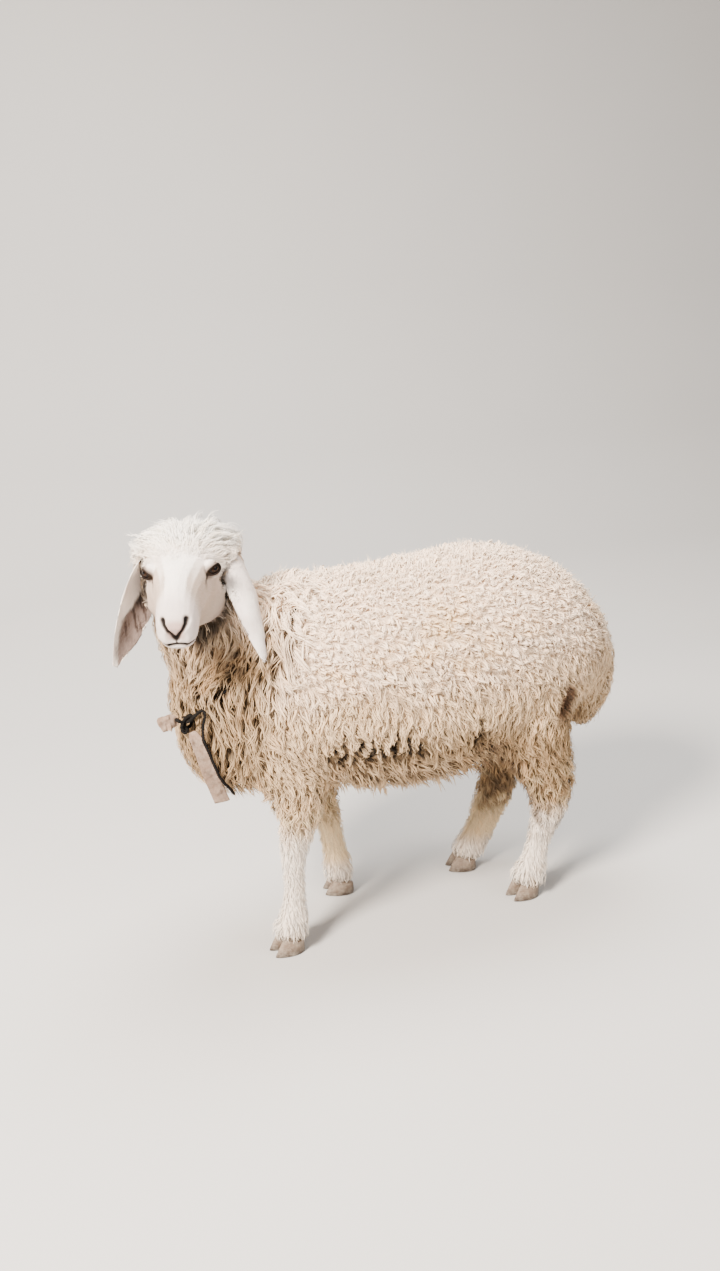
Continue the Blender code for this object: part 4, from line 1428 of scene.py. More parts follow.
    @staticmethod
    def sculpt_face(local: Array, facing: Array) -> Array:
        """Sculpt the face.

        Args:
            local: the head's points in its own axes.
            facing: their normals in the same axes.

        Returns:
            The moved points.
        """
        forward, left, rise = local.T
        wide, upward = np.abs(left), facing[:, 2]
        cheekbone = bump(rise, -0.043, 0.010) * ease(0.085, 0.105, forward) * ease(0.180, 0.150, forward)
        hollow = bump(rise, -0.066, 0.014) * bump(forward, 0.150, 0.028) * ease(0.02, 0.03, wide)
        jaw_muscle = bump(rise, -0.088, 0.032) * bump(forward, 0.086, 0.034) * ease(0.008, 0.035, wide)
        bridge = bump(wide, 0.0, 0.014) * ease(0.10, 0.13, forward) * ease(0.215, 0.195, forward)
        dip = bump(wide, 0.026, 0.008) * bump(forward, 0.150, 0.030) * ease(0.2, 0.8, upward)
        brow = bump(forward, 0.076, 0.014) * bump(wide, 0.047, 0.010) * ease(0.0, 0.6, upward)
        upper_lip = bump(rise, -0.046, 0.007) * ease(0.195, 0.222, forward)
        lower_lip = bump(rise, -0.063, 0.006) * ease(0.190, 0.218, forward)
        chin = ease(-0.056, -0.070, rise) * ease(0.205, 0.235, forward)
        out = np.zeros(len(local))
        for height in (0.0030 * cheekbone * ease(0.025, 0.035, wide), -0.0030 * hollow, 0.0095 * jaw_muscle,
                       0.0016 * bridge * ease(0.4, 0.9, upward), -0.0014 * dip, 0.0007 * brow,
                       0.0014 * upper_lip, 0.0009 * lower_lip):
            out += height
        wing, _ = curve_distance(np.stack([forward, wide, rise], axis=1), NOSTRIL_WING)
        local = local + facing * out[:, None]
        local[:, 0] -= 0.0045 * chin
        local = local + facing * (0.0017 * bump(wing, 0.0, 0.0040))[:, None]
        for line in FACE_LINES:
            gap, along = line.gap(local)
            push = line.sized(along, line.depth) * bump(gap, 0.0, line.sized(along, line.width))
            local = local - facing * push[:, None]
        for eye in EYES:
            local = Skin.sculpt_lids(local, facing, eye)
        return local

    @staticmethod
    def sculpt_lids(local: Array, facing: Array, eye: EyeShape) -> Array:
        """Raise the lids, crease the skin round them and cut the tear groove."""
        offset = local - eye.centre
        share = eye.opening(local)
        near = ease(0.030, 0.020, np.linalg.norm(offset, axis=1))
        high = ease(-0.2, 0.5, offset @ eye.axes()[2] / eye.half_height)
        lid = bump(share, 1.15, 0.20) * near
        fold = bump(share, 1.62 + 0.10 * high, 0.14) * near
        lower_fold = bump(share, 2.05, 0.16) * near * (1.0 - high)
        out = 0.0010 * lid + 0.0006 * high * lid - 0.0016 * fold - 0.0008 * lower_fold
        local = local + facing * out[:, None]
        gap, along = eye.tear_line(local, 0.0115, ((0.006, 0.009, 0.008), (0.016, 0.012, 0.022)))
        return local - facing * (0.0018 * bump(gap, 0.0, 0.0024) * (1.0 - 0.8 * along))[:, None]

    @staticmethod
    def lid_cutter(eye: EyeShape, sides: int = 48) -> Object:
        """A prism of the almond opening, from outside in to the middle of the ball."""
        gaze, corner, up = eye.axes()
        points, faces = [], []
        stations = ((0.030, 1.25), (0.0150, 1.04), (0.0125, 0.98), (0.002, 0.90))
        for depth, scale in stations:
            for k in range(sides):
                angle = math.tau * k / sides
                u, v = math.cos(angle), math.sin(angle)
                size = 1.0
                for _ in range(5):
                    size = 1.0 / math.sqrt(u * u + v * v + eye.pointed * size * abs(u) ** 3)
                points.append(eye.centre + gaze * depth + corner * (u * size * eye.half_length * scale)
                              + up * (v * size * eye.half_height * scale + eye.lift))
        for row in range(len(stations) - 1):
            for k in range(sides):
                a, b = row * sides + k, row * sides + (k + 1) % sides
                faces.append((a, b, b + sides, a + sides))
        faces.append(tuple(range(sides - 1, -1, -1)))
        faces.append(tuple(range(len(points) - sides, len(points))))
        cutter = mesh_object("lid_cutter", HEAD.to_world(np.array(points)), faces)
        face_outward(cutter.data)
        return cutter

    @staticmethod
    def build_ear(name: str) -> Object:
        """A smooth ear with a hollow base and a rolled, uneven rim."""
        ear = subdivided(merged_copy(name, quads=True))
        points, normals = points_of(ear), normals_of(ear)
        wave = ripple(points, 0.035, 41) * 0.0010
        set_points(ear, points + normals * (wave * ease(0.72, 0.66, points[:, 2]))[:, None])
        return ear

    def places(self, points: Array, normals: Array) -> Places:
        """Say which points lie on the head and on the ears."""
        def touching(*trees: BVHTree) -> Array:
            """Which points lie on one of the surfaces."""
            hits = [[tree.find_nearest(Vector(point), self.contact)[0] for tree in trees] for point in points]
            return np.array([any(hit is not None for hit in row) for row in hits], dtype=float)

        return Places(points, normals, touching(self.head_tree), touching(*self.ear_trees))

    def unwrap(self) -> None:
        """Lay the skin out flat in its own map."""
        bpy.ops.object.select_all(action="DESELECT")
        bpy.context.view_layer.objects.active = self.skin
        self.skin.select_set(True)
        self.skin.data.uv_layers.new(name="OFBake")
        bpy.ops.object.mode_set(mode="EDIT")
        bpy.ops.mesh.select_all(action="SELECT")
        bpy.ops.uv.smart_project(angle_limit=math.radians(72.0), island_margin=0.0015)
        bpy.ops.object.mode_set(mode="OBJECT")

    def finish(self, colours: CoatColours, effects: Effects) -> None:
        """Colour the skin, unwrap it and put it in the nodes' place."""
        at = self.places(points_of(self.skin), normals_of(self.skin))
        # the skin under the coat takes the painted shade of the coat's depths
        deep = root_darkness(at)[:, None] * np.array((0.90, 0.93, 0.96))
        write_colours(self.skin, "markings_and_shade", colours.markings_and_shade(at) * (1.0 - deep))
        write_vectors(self.skin, "lie", lie_of_coat(at))
        write_colours(self.skin, "surface", np.repeat(self.wetness(at)[:, None], 3, axis=1))
        self.unwrap()
        dress(self.skin, HideFinish().build(effects), Slot.WOOL, *self.body_nodes, "head", *self.ear_nodes)

    @staticmethod
    def wetness(at: Places) -> Array:
        """Where the skin is bare and moist: nostrils, lips and lid rims."""
        forward, _, rise = at.head.T
        nose = ease(0.222, 0.231, forward) * ease(-0.052, -0.044, rise) * ease(-0.010, -0.018, rise)
        wet = 0.75 * nose * at.on_head
        for eye in EYES:
            rim = at.on_head * eye.near(at.head, 0.024) * ease(1.35, 1.12, eye.opening(at.head))
            wet = np.maximum(wet, rim)
        return wet


# ---------------------------------------------------------------- the coat
@dataclass(frozen=True)
class LockStyle:
    """How one kind of coat grows; lengths in metres."""

    density: float          # strands to the square metre
    spacing: float          # between the middles of locks
    run: float              # how far a strand goes along the skin
    rise: float             # how high its middle stands
    tip: float              # how high its tip stands
    width: float
    curl: float = 0.0       # radius of its curl
    turns: float = 0.0
    wave: float = 0.0       # how far it swings from side to side
    waves: float = 0.0
    clump: float = 0.6      # how far strands gather at the tip
    frizz: float = 0.0006
    spread: float = 0.35    # how far the lie strays, in radians


STYLES = {
    Region.BACK: LockStyle(50000, 0.0112, 0.0108, 0.0068, 0.0040, 0.0032, curl=0.0016, turns=0.50,
                           clump=0.86, frizz=0.0009, spread=0.70),
    Region.FLANK: LockStyle(37000, 0.0118, 0.0300, 0.0092, 0.0062, 0.0028, curl=0.0010, turns=0.6,
                            wave=0.0020, waves=1.2, clump=0.76, frizz=0.0012, spread=0.30),
    Region.BELLY: LockStyle(15000, 0.0130, 0.0220, 0.0125, 0.0240, 0.0030, wave=0.0012, waves=0.8,
                            clump=0.66, frizz=0.0014, spread=0.42),
    Region.CHEST: LockStyle(50000, 0.0120, 0.0480, 0.0145, 0.0090, 0.0021, curl=0.0008, turns=0.4,
                            wave=0.0026, waves=0.95, clump=0.82, frizz=0.0016, spread=0.30),
    Region.TAIL: LockStyle(34000, 0.0120, 0.0300, 0.0092, 0.0075, 0.0028, curl=0.0016, turns=0.8,
                           wave=0.0020, waves=1.3, clump=0.62, frizz=0.0012, spread=0.40),
    Region.THIGH: LockStyle(43000, 0.0105, 0.0230, 0.0068, 0.0078, 0.0022, wave=0.0018, waves=1.0,
                            clump=0.70, frizz=0.0014, spread=0.42),
    Region.SHANK: LockStyle(56000, 0.0065, 0.0130, 0.0036, 0.0044, 0.0015, clump=0.45, frizz=0.0008,
                            spread=0.25),
    Region.CROWN: LockStyle(140000, 0.0080, 0.0300, 0.0105, 0.0140, 0.0012, wave=0.0012, waves=0.6,
                            clump=0.66, frizz=0.0014, spread=0.24),
    Region.FACE: LockStyle(130000, 0.0060, 0.0050, 0.0005, 0.0004, 0.0007, clump=0.10, frizz=0.0002,
                           spread=0.16),
    Region.EAR: LockStyle(90000, 0.0060, 0.0060, 0.0007, 0.0006, 0.0008, clump=0.10, frizz=0.0002,
                          spread=0.20),
    Region.THROAT: LockStyle(70000, 0.0110, 0.0330, 0.0095, 0.0080, 0.0020, wave=0.0028, waves=1.1,
                             clump=0.78, frizz=0.0014, spread=0.36)}
LOOSE_STYLES = {region: replace(style, density=style.density * 0.68, spacing=style.spacing * 0.6,
                                run=style.run * 0.7, rise=style.rise * 1.02 + 0.0004,
                                tip=style.rise + 0.0038, width=0.0012, curl=0.0004, turns=1.0,
                                wave=0.0016, waves=1.2, clump=0.25, frizz=0.0022,
                                spread=style.spread + 0.35) for region, style in STYLES.items()}


@dataclass(frozen=True)
class CoatGroup:
    """Kinds of coat that are made together, with the same number of joints in a strand."""

    name: str
    regions: tuple[Region, ...]
    joints: int
    slot: Slot
    finish: CoatFinish
    softness: float = 0.65      # how far each strand is shaded like the skin below it
    loose: bool = False         # fine stray hairs over the locks
    dome: float = 0.0           # how far the locks are shaded as rounded tops


@dataclass
class StyleMix:
    """The lock styles, mixed by region for a row of places."""

    table: dict[Region, LockStyle]
    at: Places

    def __post_init__(self) -> None:
        """Work out the regions' shares once."""
        self.shares = region_weights(self.at)

    def size(self, name: str) -> Array:
        """One of the styles' sizes at each place."""
        return by_region({region: getattr(style, name) for region, style in self.table.items()}, self.shares)


@dataclass
class Locks:
    """The locks' middle lines, one row for each lock and one column for each joint."""

    feet: Array         # on the skin
    normals: Array
    ways: Array         # along the skin
    sides: Array        # across it
    lines: Array        # the middle lines themselves
    standing: Array     # how high each joint stands


@dataclass
class Strands:
    """A group's strands, one row for each strand."""

    lines: Array        # each strand's points, root to tip
    ups: Array          # the skin's normals under them
    dome: Array         # how far each is shaded as part of its lock's rounded top
    width: Array
    colours: Array      # the markings along it, with how dark its root is
    flat: Array         # its root's map coordinates
    lock_of: Array      # the lock that it belongs to


class StrandShape:
    """The closed three-sided mesh of one tapering strand with a number of joints."""

    corners = ((90.0, 0.42), (195.0, 0.50), (345.0, 0.50))      # each edge's angle and flatness
    patch = 0.003                                               # a strand's size on the map

    def __init__(self, joints: int) -> None:
        """Work out the faces and the places along and round the strand."""
        along = np.linspace(0.0, 1.0, joints)
        rows, sides = joints - 1, len(self.corners)
        faces = []
        for row in range(rows - 1):
            for k in range(sides):
                p, q = row * sides + k, row * sides + (k + 1) % sides
                faces += [(p, q + sides, q), (p, p + sides, q + sides)]
        top = (rows - 1) * sides
        faces += [(top + (k + 1) % sides, top + k, top + sides) for k in range(sides)]
        faces.append((0, 1, 2))
        self.faces = np.array(faces)
        self.count = rows * sides + 1
        self.taper = np.interp(along, (0.0, 0.25, 0.5, 0.72, 0.88, 1.0), (0.70, 1.0, 0.92, 0.66, 0.34, 0.0))
        self.along = np.concatenate([np.repeat(along[:-1], sides), [1.0]])
        self.around = np.concatenate([np.tile((0.0, -0.5, 0.5), rows), [0.0]])
        self.flat = np.stack([self.around, self.along - 0.5], axis=1) * self.patch

    def sweep(self, strands: Strands, softness: float) -> tuple[Array, Array]:
        """Every strand's points and their normals.

        Args:
            strands: the strands.
            softness: how far they are shaded like the skin below them.

        Returns:
            The points and the normals, one row for each strand.
        """
        lines, ups = strands.lines, strands.ups
        forward = unit(np.gradient(lines, axis=1))
        across = unit(np.cross(forward, ups))
        lift = unit(np.cross(across, forward))
        half = strands.width[:, None] * 0.5 * self.taper
        corners = []
        for angle, thick in self.corners:
            turn = math.radians(angle)
            corners.append(across * (half * math.cos(turn))[:, :, None]
                           + lift * (half * thick * math.sin(turn))[:, :, None])
        corners = np.stack(corners, axis=2)
        body = (lines[:, :, None, :] + corners)[:, :-1].reshape(len(lines), -1, 3)
        points = np.concatenate([body, lines[:, -1:, :]], axis=1)
        radial = unit(corners)[:, :-1].reshape(len(lines), -1, 3)
        shaded = unit(ups + strands.dome[:, None, :])
        below = np.repeat(shaded[:, :-1], len(self.corners), axis=1)
        outward = np.clip(0.30 + np.sum(radial * below, axis=2, keepdims=True), 0.0, 1.0)
        normals = radial * 0.75 + below * outward * softness
        return points, unit(np.concatenate([normals, 0.4 * forward[:, -1:] + shaded[:, -1:]], axis=1))


class Fleece:
    """Grows every strand of the coat from the skin."""

    piece_limit = 190000            # triangles in one piece
    sunk = 0.0012                   # how far a root goes into the skin
    ring_cover = 0.0085             # how much higher the wool stands over the collar
    behind_knot = (0.365, 0.330)    # from the first to the second the collar goes under the wool

    def __init__(self, skin: Skin, colours: CoatColours, ring: Array) -> None:
        """Read the skin once.

        Args:
            skin: the finished skin.
            colours: the animal's markings.
            ring: the collar's middle line, which the wool hides.
        """
        self.ring = ring
        low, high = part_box("collar_knot")
        self.knot = np.array((low + high) / 2.0) + np.array((-0.008, 0.012, 0.008))
        self.colours = colours
        mesh = skin.skin.data
        self.points, self.vertex_normals = points_of(skin.skin), normals_of(skin.skin)
        mesh.calc_loop_triangles()
        corners = np.empty(len(mesh.loop_triangles) * 3, dtype=np.int32)
        loops = np.empty_like(corners)
        mesh.loop_triangles.foreach_get("vertices", corners)
        mesh.loop_triangles.foreach_get("loops", loops)
        self.triangles = corners.reshape(-1, 3)
        uv = np.empty(len(mesh.loops) * 2, dtype=np.float32)
        mesh.uv_layers["OFBake"].uv.foreach_get("vector", uv)
        self.uv = uv.reshape(-1, 2)[loops.reshape(-1, 3)]
        a, b, c = (self.points[self.triangles[:, k]] for k in range(3))
        cross = np.cross(b - a, c - a)
        self.areas = np.linalg.norm(cross, axis=1) / 2.0
        self.tree = BVHTree.FromPolygons([tuple(p) for p in self.points],
                                         [tuple(t) for t in self.triangles.tolist()])
        vertices = skin.places(self.points, self.vertex_normals)
        on_head = vertices.on_head[self.triangles].mean(axis=1)
        on_ear = (vertices.on_ear[self.triangles].mean(axis=1) > 0.5).astype(float)
        self.at_triangles = Places((a + b + c) / 3.0, unit(cross), on_head, on_ear)
        self.weights = region_weights(self.at_triangles)
        for region in Region:
            log.info("%s covers %.3f square metres", region.name, float(self.areas @ self.weights[:, region]))

    def normals_at(self, triangle: Array) -> Array:
        """The smooth skin's normals on triangles."""
        return unit(self.vertex_normals[self.triangles[triangle]].mean(axis=1))

    def scatter(self, draw: np.random.Generator, chosen: Array, density: Array) -> tuple[Places, Array]:
        """Spread roots over triangles.

        Args:
            draw: the random numbers.
            chosen: the triangles to use.
            density: roots to the square metre on each.

        Returns:
            The roots' places and their map coordinates.
        """
        wanted = np.cumsum(self.areas[chosen] * density)
        total = int(wanted[-1])
        index = np.searchsorted(wanted, np.arange(total) + draw.uniform(0.0, 1.0, total))
        triangle = chosen[np.clip(index, 0, len(chosen) - 1)]
        u, v = draw.uniform(size=total), draw.uniform(size=total)
        fold = u + v > 1.0
        u[fold], v[fold] = 1.0 - u[fold], 1.0 - v[fold]
        shares = np.stack([1.0 - u - v, u, v], axis=1)[:, :, None]
        points = (self.points[self.triangles[triangle]] * shares).sum(axis=1)
        at = Places(points, self.normals_at(triangle), self.at_triangles.on_head[triangle],
                    self.at_triangles.on_ear[triangle])
        return at, (self.uv[triangle] * shares).sum(axis=1)

    def march(self, at: Places, runs: Array, stray: Array, joints: int) -> tuple[Array, Array, Array]:
        """Walk each lock's middle line over the skin.

        Args:
            at: where the locks start.
            runs: how far each one goes.
            stray: the angle that each strays from the lie of the coat.
            joints: steps along it.

        Returns:
            The line's feet on the skin, the normals there and its directions there.
        """
        feet, normals, ways = [at.points], [at.normals], []
        here, turn = at, stray[:, None]
        for step in range(joints):
            way = lie_of_coat(here)
            way = unit(way * np.cos(turn) + np.cross(here.normals, way) * np.sin(turn))
            ways.append(way)
            if step == joints - 1:
                break
            ahead = here.points + way * (runs / (joints - 1))[:, None]
            hits = [self.tree.find_nearest(Vector(point)) for point in ahead]
            facing = self.normals_at(np.array([hit[2] for hit in hits]))
            facing = unit(facing * 0.6 + here.normals * 0.4)
            here = Places(np.array([hit[0] for hit in hits], dtype=float), facing, here.on_head, here.on_ear)
            feet.append(here.points)
            normals.append(facing)
        return np.stack(feet, axis=1), np.stack(normals, axis=1), np.stack(ways, axis=1)

    def grow(self, group: CoatGroup, effects: Effects, seed: int) -> None:
        """Grow one group of the coat.

        Args:
            group: what to grow.
            effects: the shared shader groups.
            seed: for its random numbers.
        """
        draw = np.random.default_rng(seed)
        table = LOOSE_STYLES if group.loose else STYLES
        columns = list(group.regions)
        share = self.weights[:, columns].sum(axis=1)
        chosen = np.flatnonzero(share > 0.02)
        density = self.weights[chosen][:, columns] @ np.array([table[region].density for region in columns])
        at, flat = self.scatter(draw, chosen, density * self.bare(self.at_triangles.take(chosen)))
        spacing = np.array([table[region].spacing for region in Region])
        lock_density = (self.weights[chosen] @ (1.0 / spacing ** 2)) * share[chosen]
        lock_at, _ = self.scatter(draw, chosen, lock_density)
        lock_of, _ = nearest(lock_at.points, at.points)
        locks = self.shape_locks(group, StyleMix(table, lock_at), draw)
        strands = self.fill_locks(group, StyleMix(table, at), locks, lock_of, flat, draw)
        self.pieces(group, strands, draw, effects)

    def shape_locks(self, group: CoatGroup, mix: StyleMix, draw: np.random.Generator) -> Locks:
        """Lay the locks over the skin, then lift, curl and wave them.

        Args:
            group: what is grown.
            mix: the styles where the locks start.
            draw: the random numbers.

        Returns:
            The locks' middle lines.
        """
        at, count = mix.at, len(mix.at.points)

        def varied(name: str, low: float, high: float) -> Array:
            """One of the styles' sizes, a little different for each lock."""
            return (mix.size(name) * draw.uniform(low, high, count))[:, None]

        x, _, z = at.points.T
        foot = ease(0.090, 0.050, z)
        hock = bump(z, 0.255, 0.060) * (x < -0.10)
        back = mix.shares[:, Region.BACK]
        over_ring = ease(0.050, 0.025, self.ring_gap(at.points)) * (x < self.behind_knot[1])
        runs = varied("run", 0.78, 1.25)[:, 0] * (1.0 + 0.55 * foot + 0.25 * hock)
        runs = runs * (1.0 + 1.3 * over_ring * back)
        stray = mix.size("spread") * draw.normal(0.0, 0.7, count)
        feet, normals, _ = self.march(at, runs, stray, group.joints)
        runs = runs * self.room(at.spread(feet, normals), group.joints)
        feet, normals, ways = self.march(at, runs, stray, group.joints)
        sides = unit(np.cross(ways, normals))

        along = np.linspace(0.0, 1.0, group.joints)
        phase = draw.uniform(0.0, math.tau, count)[:, None]
        hand = np.where(draw.uniform(size=count) < 0.5, -1.0, 1.0)[:, None]
        lifted = draw.uniform(0.62, 1.25, count) * (1.0 + 1.3 * foot + 0.5 * hock)
        tufted = mix.shares[:, Region.CROWN] + 0.8 * back
        lifted = lifted * (1.0 + 0.75 * tufted * (draw.uniform(size=count) < 0.14))
        rise = (mix.size("rise") * lifted)[:, None]
        tip = (mix.size("tip") * lifted * draw.uniform(0.6, 1.25, count))[:, None]
        height = rise * np.sin(np.minimum(along / 0.55, 1.0) * math.pi / 2.0) ** 0.9
        settle = ease(0.5, 1.0, along)
        height = height * (1.0 - settle) + (rise * (1.0 - settle) + tip * settle) * settle
        if group.slot is not Slot.FACE:
            height = self.cover_ring(height, feet, along)
        turn = along * math.tau * varied("turns", 0.7, 1.25)
        radius = varied("curl", 0.8, 1.2)
        wave = varied("wave", 0.6, 1.3)
        swing = np.sin(along * math.tau * varied("waves", 0.8, 1.2) + phase) - np.sin(phase)
        side_move = wave * swing * np.minimum(along * 2.5, 1.0) + hand * radius * (1.0 - np.cos(turn)) * 0.6
        way_move = -radius * (1.0 - np.cos(turn)) * 0.7
        standing = height + radius * np.sin(turn)
        lines = (feet + normals * standing[:, :, None] + sides * side_move[:, :, None]
                 + ways * way_move[:, :, None])
        return Locks(feet, normals, ways, sides, lines, standing)

    def cover_ring(self, height: Array, feet: Array, along: Array) -> Array:
        """Raise the wool over the collar's ring and press it flat round its knot.

        Args:
            height: how high each joint of each lock stands.
            feet: their places on the skin.
            along: how far along the lock each joint is.

        Returns:
            The new heights.
        """
        gap = self.ring_gap(feet.reshape(-1, 3)).reshape(height.shape)
        away = ease(*self.behind_knot, feet[:, :, 0])
        height = height + self.ring_cover * ease(0.042, 0.016, gap) * away * np.minimum(along * 4.0, 1.0)
        pressed = ease(0.052, 0.024, np.linalg.norm(feet - self.knot, axis=2))
        return height * (1.0 - 0.85 * pressed)

    def fill_locks(self, group: CoatGroup, mix: StyleMix, locks: Locks, lock_of: Array, flat: Array,
                   draw: np.random.Generator) -> Strands:
        """Gather strands into their locks.

        Args:
            group: what is grown.
            mix: the styles at the strands' roots.
            locks: the locks' middle lines.
            lock_of: the lock that each strand belongs to.
            flat: each root's map coordinates.
            draw: the random numbers.

        Returns:
            The strands.
        """
        at, count = mix.at, len(mix.at.points)
        along = np.linspace(0.0, 1.0, group.joints)
        ways, sides, ups = locks.ways[lock_of], locks.sides[lock_of], locks.normals[lock_of]
        offset = at.points - locks.feet[lock_of, 0]
        a, b, n = (np.sum(offset * axes[:, 0], axis=1)[:, None] for axes in (ways, sides, ups))
        moved = ways * a[:, None] + sides * b[:, None] + ups * n[:, None]
        gather = mix.size("clump")[:, None] * np.minimum(along * 1.6, 1.0) ** 0.8
        gather = np.clip(gather * draw.uniform(0.75, 1.15, count)[:, None], 0.0, 0.96)
        lines = locks.lines[lock_of] + moved * (1.0 - gather)[:, :, None]
        bend = draw.normal(size=(2, count, 1, 3)) * mix.size("frizz")[:, None, None]
        swings = draw.uniform(0.6, 1.3, (count, 1)) * along * math.tau
        wobble = bend[0] * (along ** 1.5)[None, :, None] * 1.6 + bend[1] * np.sin(swings)[:, :, None]
        reach = draw.uniform(0.86, 1.10, count)[:, None, None]
        lines = at.points[:, None, :] + (lines - lines[:, :1]) * reach + wobble
        lines[:, 0] -= at.normals * self.sunk

        width = mix.size("width") * draw.uniform(0.75, 1.25, count)
        standing = locks.standing[lock_of][:, :, None]
        ground = at.spread(lines - ups * standing, ups)
        lines = lines - ups * (standing * 0.75 * partings(ground).reshape(count, -1, 1))
        # how much painted shade darkens each strand's root
        dark = np.repeat(root_darkness(at)[:, None, None], group.joints, axis=1)
        colours = np.concatenate([self.colours.markings_and_shade(ground).reshape(count, -1, 3), dark], axis=2)
        dome = (ways[:, 0] * a + sides[:, 0] * b) / mix.size("spacing")[:, None] * group.dome
        return Strands(lines, ups, dome, width, colours, flat, lock_of)

    @staticmethod
    def bare(at: Places) -> Array:
        """Leave strands out where few or none may grow: over the eyes, nostrils, mouth and claws."""
        keep = np.ones(len(at.points))
        on_head = at.on_head > 0.5
        for eye in EYES:
            near = eye.near(at.head, 0.026) & on_head
            keep = np.where(near, keep * ease(1.5, 2.1, eye.opening(at.head)), keep)
        nose = ease(0.214, 0.224, at.head[:, 0]) * at.on_head
        keep = keep * (1.0 - nose) * (1.0 - 0.60 * partings(at))
        low = ease(0.024, 0.030, at.points[:, 2])
        return keep * np.where(on_head, 1.0, np.maximum(low, 0.3))

    @staticmethod
    def room(line: Places, joints: int, deep: float = 0.55, least: float = 0.35) -> Array:
        """How much of its run each lock has before it would cover a deep parting.

        Args:
            line: the points of every lock's line, one lock after another.
            joints: how many each has.
            deep: how deep a parting has to be to stop a lock.
            least: the smallest share that a lock keeps.

        Returns:
            A share of the run, 1 where nothing is in the way.
        """
        blocked = partings(line).reshape(-1, joints) > deep
        blocked[:, 0] = False
        first = np.where(blocked.any(axis=1), blocked.argmax(axis=1), joints)
        return np.clip(first / (joints - 1.0), least, 1.0)

    def ring_gap(self, points: Array) -> Array:
        """Distance from the collar's middle line."""
        return nearest(self.ring, points)[1]

    def pieces(self, group: CoatGroup, strands: Strands, draw: np.random.Generator, effects: Effects) -> None:
        """Turn strands into closed tapering meshes and split them into pieces.

        Args:
            group: the kind of coat.
            strands: its strands.
            draw: the random numbers.
            effects: the shared shader groups.
        """
        shape = StrandShape(group.joints)
        points, normals = shape.sweep(strands, group.softness)
        chance = draw.uniform(size=len(points))
        lock_chance = np.random.default_rng(7).uniform(size=strands.lock_of.max() + 1)[strands.lock_of]
        order = np.lexsort((strands.lines[:, 0, 2], np.floor(strands.lines[:, 0, 0] / 0.02)))
        parts = max(1, math.ceil(len(points) / (self.piece_limit // len(shape.faces))))
        material = group.finish.build(effects)
        for number, chosen in enumerate(np.array_split(order, parts)):
            name = group.name if parts == 1 else f"{group.name}_{number + 1}"
            count, many = shape.count, len(chosen)
            triangles = (shape.faces[None] + (np.arange(many) * count)[:, None, None]).reshape(-1, 3)
            piece = triangle_object(name, points[chosen].reshape(-1, 3), triangles)
            piece.data.normals_split_custom_set_from_vertices(
                normals[chosen].reshape(-1, 3).astype(np.float32))
            write_colours(piece, "strand", np.stack(
                [np.repeat(chance[chosen], count), np.tile(shape.along, many),
                 np.repeat(lock_chance[chosen], count), np.tile(shape.around, many)], axis=1))
            colours = strands.colours[chosen]
            marks = np.concatenate([np.repeat(colours[:, :-1], 3, axis=1), colours[:, -1:]], axis=1)
            write_colours(piece, "markings_and_shade", marks.reshape(-1, 4))
            flat = (strands.flat[chosen][:, None, :] + shape.flat[None]).reshape(-1, 2)
            layer = piece.data.uv_layers.new(name="OFBake")
            layer.uv.foreach_set("vector", flat[triangles.ravel()].astype(np.float32).ravel())
            dress(piece, material, group.slot)
            log.info("%s: %d strands, %d triangles", name, many, len(triangles))


COAT_GROUPS = (
    CoatGroup("fleece_back", (Region.BACK,), 4, Slot.WOOL,
              CoatFinish("back_wool", 1.02, 0.10), 3.2, dome=0.9),
    CoatGroup("fleece_side", (Region.FLANK, Region.TAIL), 5, Slot.WOOL,
              CoatFinish("side_wool", 1.03, 0.14), 2.2, dome=0.5),
    CoatGroup("fleece_front", (Region.CHEST, Region.THROAT, Region.BELLY), 6, Slot.WOOL,
              CoatFinish("front_wool", 1.08, 0.26), 1.2, dome=0.3),
    CoatGroup("fleece_loose", (Region.BACK, Region.FLANK, Region.TAIL), 4, Slot.WOOL,
              CoatFinish("loose_wool", 1.02, 0.12), 2.4, loose=True),
    CoatGroup("leg_wool", (Region.THIGH,), 5, Slot.LEG, CoatFinish("thigh_wool", 1.08, 0.26), 1.1),
    CoatGroup("sock_hair", (Region.SHANK,), 4, Slot.LEG, CoatFinish("sock_hair", 1.02, 0.08), 2.4),
    CoatGroup("crown_wool", (Region.CROWN,), 6, Slot.FACE, CoatFinish("crown_wool", 1.02, 0.05), 3.0),
    CoatGroup("short_hair", (Region.FACE, Region.EAR), 3, Slot.FACE,
              CoatFinish("short_hair", 1.02, 0.08, relief=0.0002), 3.0),
)


